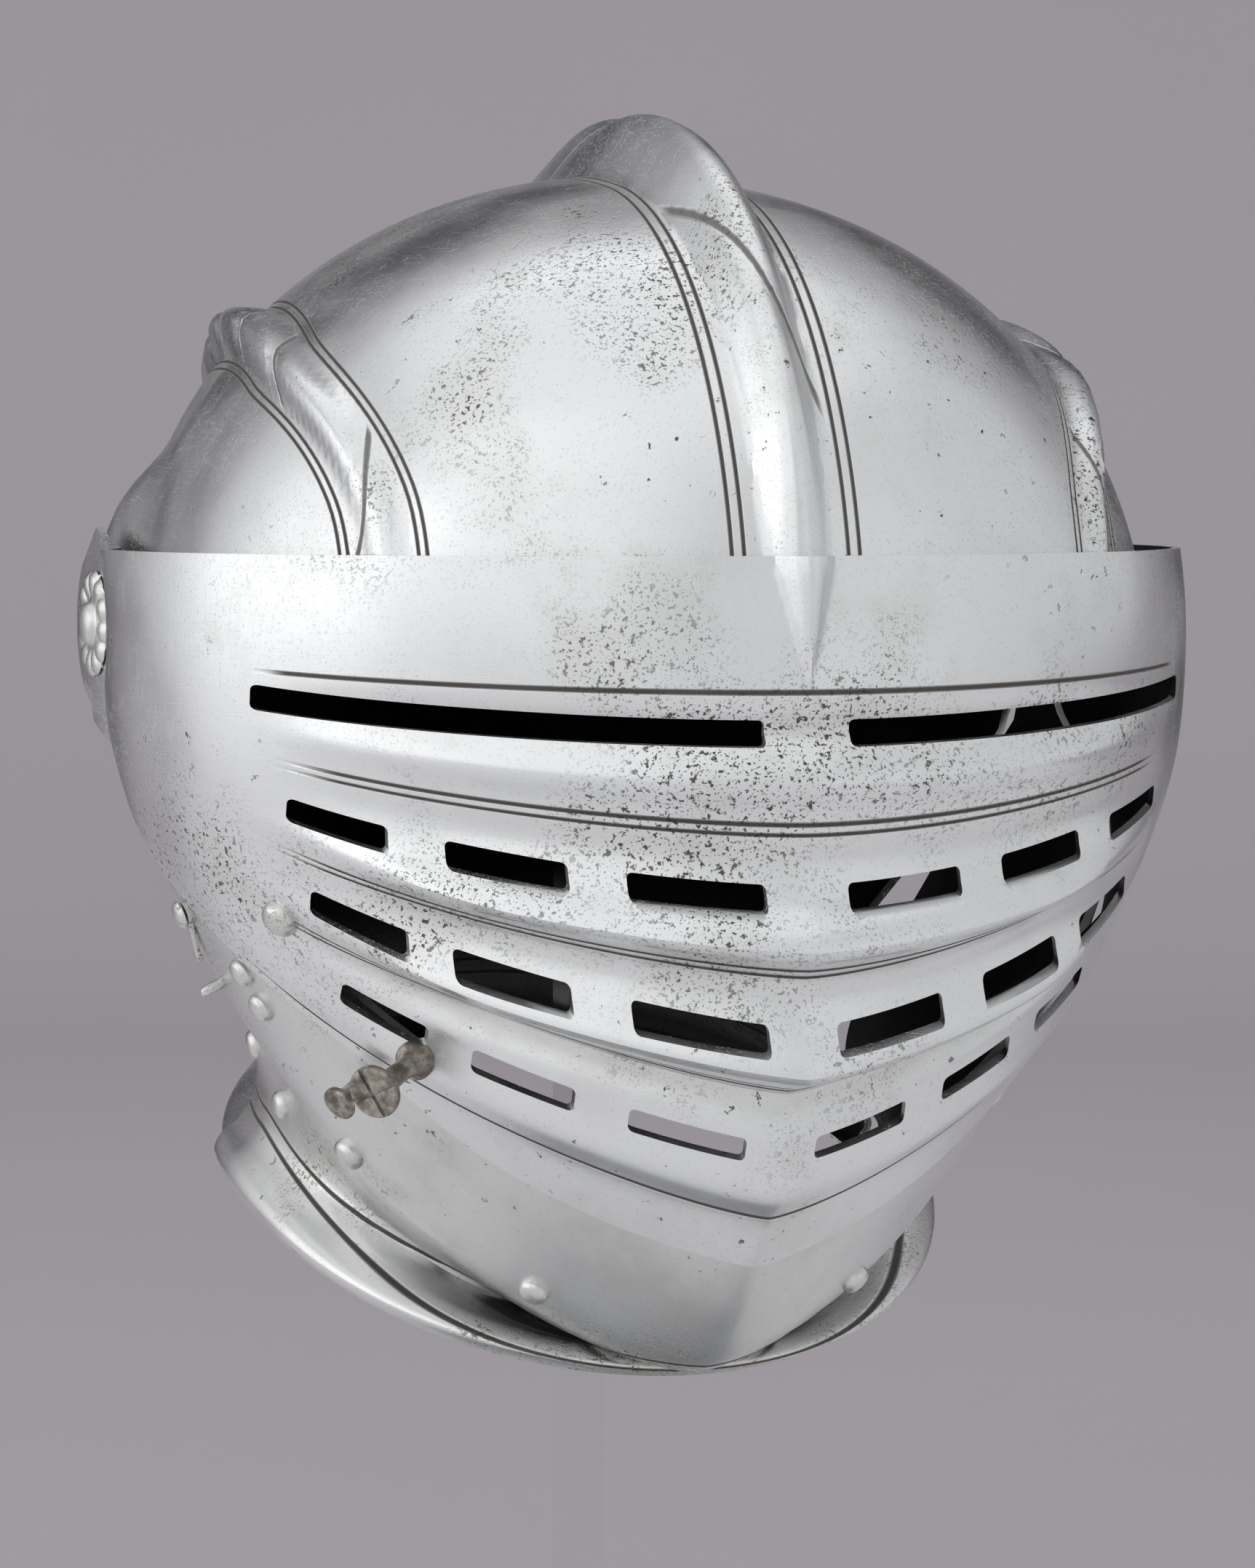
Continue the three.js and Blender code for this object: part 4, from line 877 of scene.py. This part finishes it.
def old_steel(name, bright, lines=(), shade_hollows=False, strands=False, pitting=1.0, stain=0.25):
    tree = Tree(name)
    steel = [*bright, 1]
    # unevenness left by the hammer
    broad = tree.noise(18, 1, 0.4)
    small = tree.noise(80, 1, 0.4)
    # rust pits: small dark points that gather in clouds, and a few larger ones
    cloud = tree.between(tree.noise(17, 3, 0.6), 0.48, 0.66)
    point = tree.between(tree.noise(880, 2, 0.6), 0.58, 0.66)
    speck = tree.between(tree.noise(1900, 1, 0.5), 0.64, 0.70)
    blot = tree.between(tree.noise(300, 4, 0.72), 0.65, 0.70)
    pits = tree.most(tree.times(point, cloud),
                    tree.times(speck, tree.plus(tree.times(cloud, 0.7), 0.12)))
    region = tree.between(tree.noise(11, 2, 0.5), 0.46, 0.60)
    pits = tree.most(pits, tree.times(blot, region))
    pits = tree.times(pits, pitting)
    # scratches in three directions
    hair = [tree.between(tree.noise(4200, 1, 0.5, stretch, turn), 0.63, 0.70)
            for stretch, turn in (((1, 0.02, 0.03), (0.3, 0.2, 0.9)), ((0.02, 1, 0.03), (0.9, 0.1, 0.4)),
                                  ((0.03, 0.02, 1), (0.2, 0.7, 0.1)))]
    scratches = tree.most(tree.most(hair[0], hair[1]), hair[2])
    dirt_and_groove_shade = engraved(tree, lines) if lines else 0.0
    grime_and_hollow_shade = tree.times(tree.between(tree.noise(34, 4, 0.65), 0.45, 0.75), stain)
    # painted shade: the valleys between the visor's ridges are darkened, added to the real grime
    if shade_hollows:
        low = tree.between(tree.attribute("hollow"), 0.05, 0.42)
        grime_and_hollow_shade = tree.plus(grime_and_hollow_shade, tree.times(low, 0.22))
    # painted shade: dark lines in the grooves between the strands of the cords, laid in with the dirt of
    # the engraved lines
    if strands:
        grooves = strand_grooves(tree)
        dirt_and_groove_shade = tree.most(dirt_and_groove_shade, tree.times(grooves, 0.8))
    colour = tree.mix(grime_and_hollow_shade, steel, (0.52, 0.50, 0.45, 1))
    colour = tree.mix(dirt_and_groove_shade, colour, (0.13, 0.12, 0.11, 1))
    colour = tree.mix(pits, colour, (0.075, 0.068, 0.06, 1))
    # the inside was left black from the hammer
    inside = tree.attribute("inside")
    colour = tree.mix(inside, colour, (0.016, 0.015, 0.014, 1))
    tree.put(tree.shader.inputs["Base Color"], colour)
    tree.put(tree.shader.inputs["Metallic"], tree.sum("SUBTRACT", 1.0, tree.times(inside, 0.7)))
    rough = tree.plus(tree.between(tree.noise(40, 2, 0.5), 0.3, 0.7, 0.27, 0.37),
                     tree.times(grime_and_hollow_shade, 0.2))
    rough = tree.plus(rough, tree.times(tree.most(pits, dirt_and_groove_shade), 0.4))
    rough = tree.plus(rough, tree.times(scratches, 0.05))
    rough = tree.plus(rough, tree.times(inside, 0.35))
    tree.put(tree.shader.inputs["Roughness"], rough)
    normal = tree.bump(broad, 0.0010, 0.55)
    normal = tree.bump(small, 0.00012, 0.5, normal)
    deep = tree.plus(tree.times(pits, -0.5), tree.times(dirt_and_groove_shade, -1.0))
    normal = tree.bump(deep, 0.00035, 1.0, normal)
    normal = tree.bump(tree.times(scratches, -1.0), 0.000006, 1.0, normal)
    tree.put(tree.shader.inputs["Normal"], normal)
    return tree.material

def strand_grooves(tree):
    """Painted shade: thin dark lines in the grooves between the strands of all three combs."""
    along = tree.attribute("along")
    middle, beside = tree.attribute("middle"), tree.attribute("beside")
    total = 0.0
    for across, half, size, pace in ((middle, COMB_WIDTH / 2, "comb_size", 1.0),
                                     (beside, SIDE_COMB_WIDTH / 2, "side_comb_size", SIDE_PACE)):
        lean = tree.times(across, LEAN / half)
        phase = tree.plus(tree.times(along, pace / STRAND), lean)
        groove = tree.sum("ABSOLUTE", tree.sum("SINE", tree.times(phase, math.pi)))
        thin = tree.between(groove, 0.03, 0.11, 1.0, 0.0)
        near = tree.between(tree.sum("ABSOLUTE", across), half * 0.82, half * 0.95, 1.0, 0.0)
        present = tree.between(tree.attribute(size), 0.12, 0.3)
        total = tree.most(total, tree.times(tree.times(thin, near), present))
    return total

BRIGHT = (0.80, 0.81, 0.815)
comb_lines = [("middle", at, 0.55, [("comb_size", 0.05, 0.2)]) for at in (-10.6, -13.0, 10.6, 13.0)]
comb_lines += [("beside", at, 0.5, [("side_comb_size", 0.05, 0.2)]) for at in (-9.4, -7.6, 7.6, 9.4)]
neck_lines = [("waist", 2.0, 0.5, []), ("waist", -1.2, 0.5, [])]
visor_lines = [("turn", at, half, [("in_front", 0.05, 0.5)]) for at, half in
               ((-4.6, 0.26), (-5.4, 0.22), (-14.4, 0.22), (-15.1, 0.22), (-23.1, 0.22), (-23.8, 0.22),
                (-33.6, 0.22))]
visor_lines += [("turn", 5.0, 0.30, [("in_front", 0.0, 0.12)])]
skull_steel = old_steel("skull steel", BRIGHT, comb_lines + neck_lines, strands=True)
# the visor's steel gets painted shade in the valleys between its ridges
visor_steel = old_steel("visor steel", BRIGHT, visor_lines, shade_hollows=True, pitting=0.9)
bevor_steel = old_steel("bevor steel", (0.74, 0.745, 0.74), neck_lines, stain=0.45, pitting=0.7)
rivet_steel = old_steel("rivet steel", (0.70, 0.70, 0.68), stain=0.5, pitting=0.5)

# %% [markdown]
# Browned steel is a thin even rust that was oiled. It is darker, rougher and warmer than the plate,
# and hands have rubbed it nearly bright in patches. The acrylic is clear, and its small waves and
# faint haze keep it from looking like empty air.

# %% Browned steel, and clear acrylic
def browned_steel():
    tree = Tree("browned steel")
    patch = tree.between(tree.noise(240, 4, 0.65), 0.35, 0.68)
    fine = tree.noise(1400, 2, 0.6)
    rubbed = tree.between(tree.noise(120, 3, 0.6), 0.56, 0.7)
    colour = tree.mix(patch, (0.17, 0.14, 0.115, 1), (0.47, 0.44, 0.40, 1))
    colour = tree.mix(tree.times(rubbed, 0.8), colour, (0.70, 0.69, 0.66, 1))
    tree.put(tree.shader.inputs["Base Color"], colour)
    tree.shader.inputs["Metallic"].default_value = 0.85
    tree.put(tree.shader.inputs["Roughness"], tree.between(patch, 0, 1, 0.62, 0.40))
    tree.put(tree.shader.inputs["Normal"], tree.bump(fine, 0.00012, 0.7))
    return tree.material

def clear_acrylic():
    tree = Tree("clear acrylic")
    tree.shader.inputs["Base Color"].default_value = (0.88, 0.895, 0.91, 1)
    tree.shader.inputs["Transmission Weight"].default_value = 1.0
    tree.shader.inputs["IOR"].default_value = 1.49
    tree.put(tree.shader.inputs["Roughness"], tree.between(tree.noise(40, 3, 0.6), 0.3, 0.7, 0.02, 0.09))
    tree.put(tree.shader.inputs["Normal"], tree.bump(tree.noise(60, 2, 0.5), 0.0002, 0.25))
    return tree.material

def dress(material, *objects):
    for obj in objects:
        obj.data.materials.clear()
        obj.data.materials.append(material)

dress(skull_steel, skull)
dress(visor_steel, visor)
dress(bevor_steel, bevor)
dress(rivet_steel, *rivet_heads, *rosettes, hook, hook_head, pin)
dress(browned_steel(), peg, button)
dress(clear_acrylic(), post, base)
print("materials:", len(bpy.data.materials))

# %% [markdown]
# ## The room
# Polished steel looks like whatever stands round it. A broad soft box high on the left gives the
# long white gradient over the brow, a weaker one on the right keeps that cheek open, and a pale
# grey backdrop behind the helmet makes the dark line along its edges.

# %% Floor and backdrop in one sweep
def backdrop(width=9.0, front=-4.5, back=3.0, radius=0.9, height=5.0):
    bm = bmesh.new()
    line = [(front, 0), (back - radius, 0)]
    line += [(back - radius + radius * math.sin(a), radius - radius * math.cos(a))
             for a in np.radians(np.linspace(6, 90, 15))]
    line += [(back, height)]
    chain = [bm.verts.new((-width / 2, y, z)) for y, z in line]
    edges = [bm.edges.new(pair) for pair in zip(chain, chain[1:])]
    wide = bmesh.ops.extrude_edge_only(bm, edges=edges)
    moved = [e for e in wide["geom"] if isinstance(e, bmesh.types.BMVert)]
    bmesh.ops.translate(bm, verts=moved, vec=(width, 0, 0))
    rotate_all(bm, FACING_CAMERA)
    for f in bm.faces:
        f.smooth = True
    return as_object(bm, "backdrop")

room = backdrop()
paper = Tree("backdrop paper")
ahead = paper.nodes.new("ShaderNodeVectorMath")
ahead.operation = "DOT_PRODUCT"
paper.put(ahead.inputs[0], paper.place)
ahead.inputs[1].default_value = (math.sin(AZIMUTH), math.cos(AZIMUTH), 0)
grey = paper.mix(paper.noise(3, 3, 0.5), (0.440, 0.408, 0.437, 1), (0.462, 0.430, 0.457, 1))
# a white sheet lies on the floor from under the helmet to the camera, and lights it from below
past_sheet = paper.between(ahead.outputs["Value"], 0.08, 0.36)
paper.put(paper.shader.inputs["Base Color"], paper.mix(past_sheet, (0.86, 0.85, 0.86, 1), grey))
paper.shader.inputs["Roughness"].default_value = 0.9
dress(paper.material, room)

def soft_box(name, place, aim, size, power, colour=(1, 1, 1)):
    lamp = bpy.data.lights.new(name, "AREA")
    lamp.shape, lamp.size, lamp.size_y = "RECTANGLE", *size
    lamp.energy, lamp.color = power, colour
    obj = bpy.data.objects.new(name, lamp)
    obj.location = place
    obj.rotation_euler = (Vector(aim) - Vector(place)).to_track_quat("-Z", "Y").to_euler()
    obj.visible_camera = False
    bpy.context.scene.collection.objects.link(obj)
    return obj

MIDDLE = (0, 0, 0.28)
soft_box("key", (-1.5, -1.7, 1.5), MIDDLE, (2.6, 2.6), 8, (1, 0.995, 0.985))
soft_box("fill", (1.5, -2.2, 0.8), MIDDLE, (2.0, 2.2), 1.5, (0.98, 0.99, 1))
soft_box("top", (-0.1, -0.2, 2.2), MIDDLE, (3.0, 2.4), 6.5)
soft_box("left", (-2.2, 0.0, 0.55), MIDDLE, (2.2, 2.4), 12)
soft_box("wall", (0.3, 0.8, 2.6), (0.9, 2.9, 0.9), (2.0, 1.0), 4)
print("lamps:", len(bpy.data.lights))

# %% [markdown]
# Bright metal needs something dark to reflect too, or it looks like white plastic. Three black
# flags stand behind the helmet, outside the picture. Only reflections see them.

# %% Black flags
def flag(name, aside, height, size):
    bm = bmesh.new()
    bmesh.ops.create_grid(bm, x_segments=1, y_segments=1, size=0.5)
    bmesh.ops.scale(bm, verts=bm.verts, vec=(*size, 1))
    rotate_all(bm, Matrix.Rotation(math.pi / 2, 3, "X"))
    bmesh.ops.translate(bm, verts=bm.verts, vec=(aside, 1.5, height))
    rotate_all(bm, FACING_CAMERA)
    obj = as_object(bm, name)
    obj.visible_camera = obj.visible_shadow = obj.visible_diffuse = obj.visible_transmission = False
    dress(felt.material, obj)

felt = Tree("black felt")
felt.shader.inputs["Base Color"].default_value = (0.05, 0.05, 0.053, 1)
felt.shader.inputs["Roughness"].default_value = 1.0
felt.shader.inputs["Specular IOR Level"].default_value = 0.0
flag("flag_left", -0.75, 0.8, (0.7, 2.0))
flag("flag_right", 0.80, 0.8, (0.8, 2.0))
flag("flag_top", 0.0, 1.15, (0.85, 0.9))

world = bpy.data.worlds.new("studio")
bpy.context.scene.world = world
world.use_nodes = True
world.node_tree.nodes["Background"].inputs["Color"].default_value = (0.78, 0.79, 0.80, 1)
world.node_tree.nodes["Background"].inputs["Strength"].default_value = 0.84
bpy.context.scene.view_settings.view_transform = "Standard"

# %% [markdown]
# The camera stands where the photographer stood: a little to the helmet's right, level with the
# sights, with a long lens. The frame is shifted, not tilted, so upright lines stay upright.

# %% Camera
ELEVATION, DISTANCE = math.radians(1.5), 1.5
level = math.cos(ELEVATION)
toward = Vector((-math.sin(AZIMUTH) * level, -math.cos(AZIMUTH) * level, math.sin(ELEVATION)))
lens = bpy.data.cameras.new("photographer")
lens.sensor_fit, lens.sensor_height, lens.sensor_width = "VERTICAL", 36, 36
lens.lens = 163.6
lens.shift_x, lens.shift_y = 0.0315, -0.105
camera = bpy.data.objects.new("photographer", lens)
camera.location = Vector((0, 0, PIVOT_HEIGHT)) + toward * DISTANCE
camera.rotation_euler = (-toward).to_track_quat("-Z", "Y").to_euler()
bpy.context.scene.collection.objects.link(camera)
bpy.context.scene.camera = camera
print("camera at (m):", [round(v, 3) for v in camera.location])

# %% Finish
bpy.context.view_layer.update()
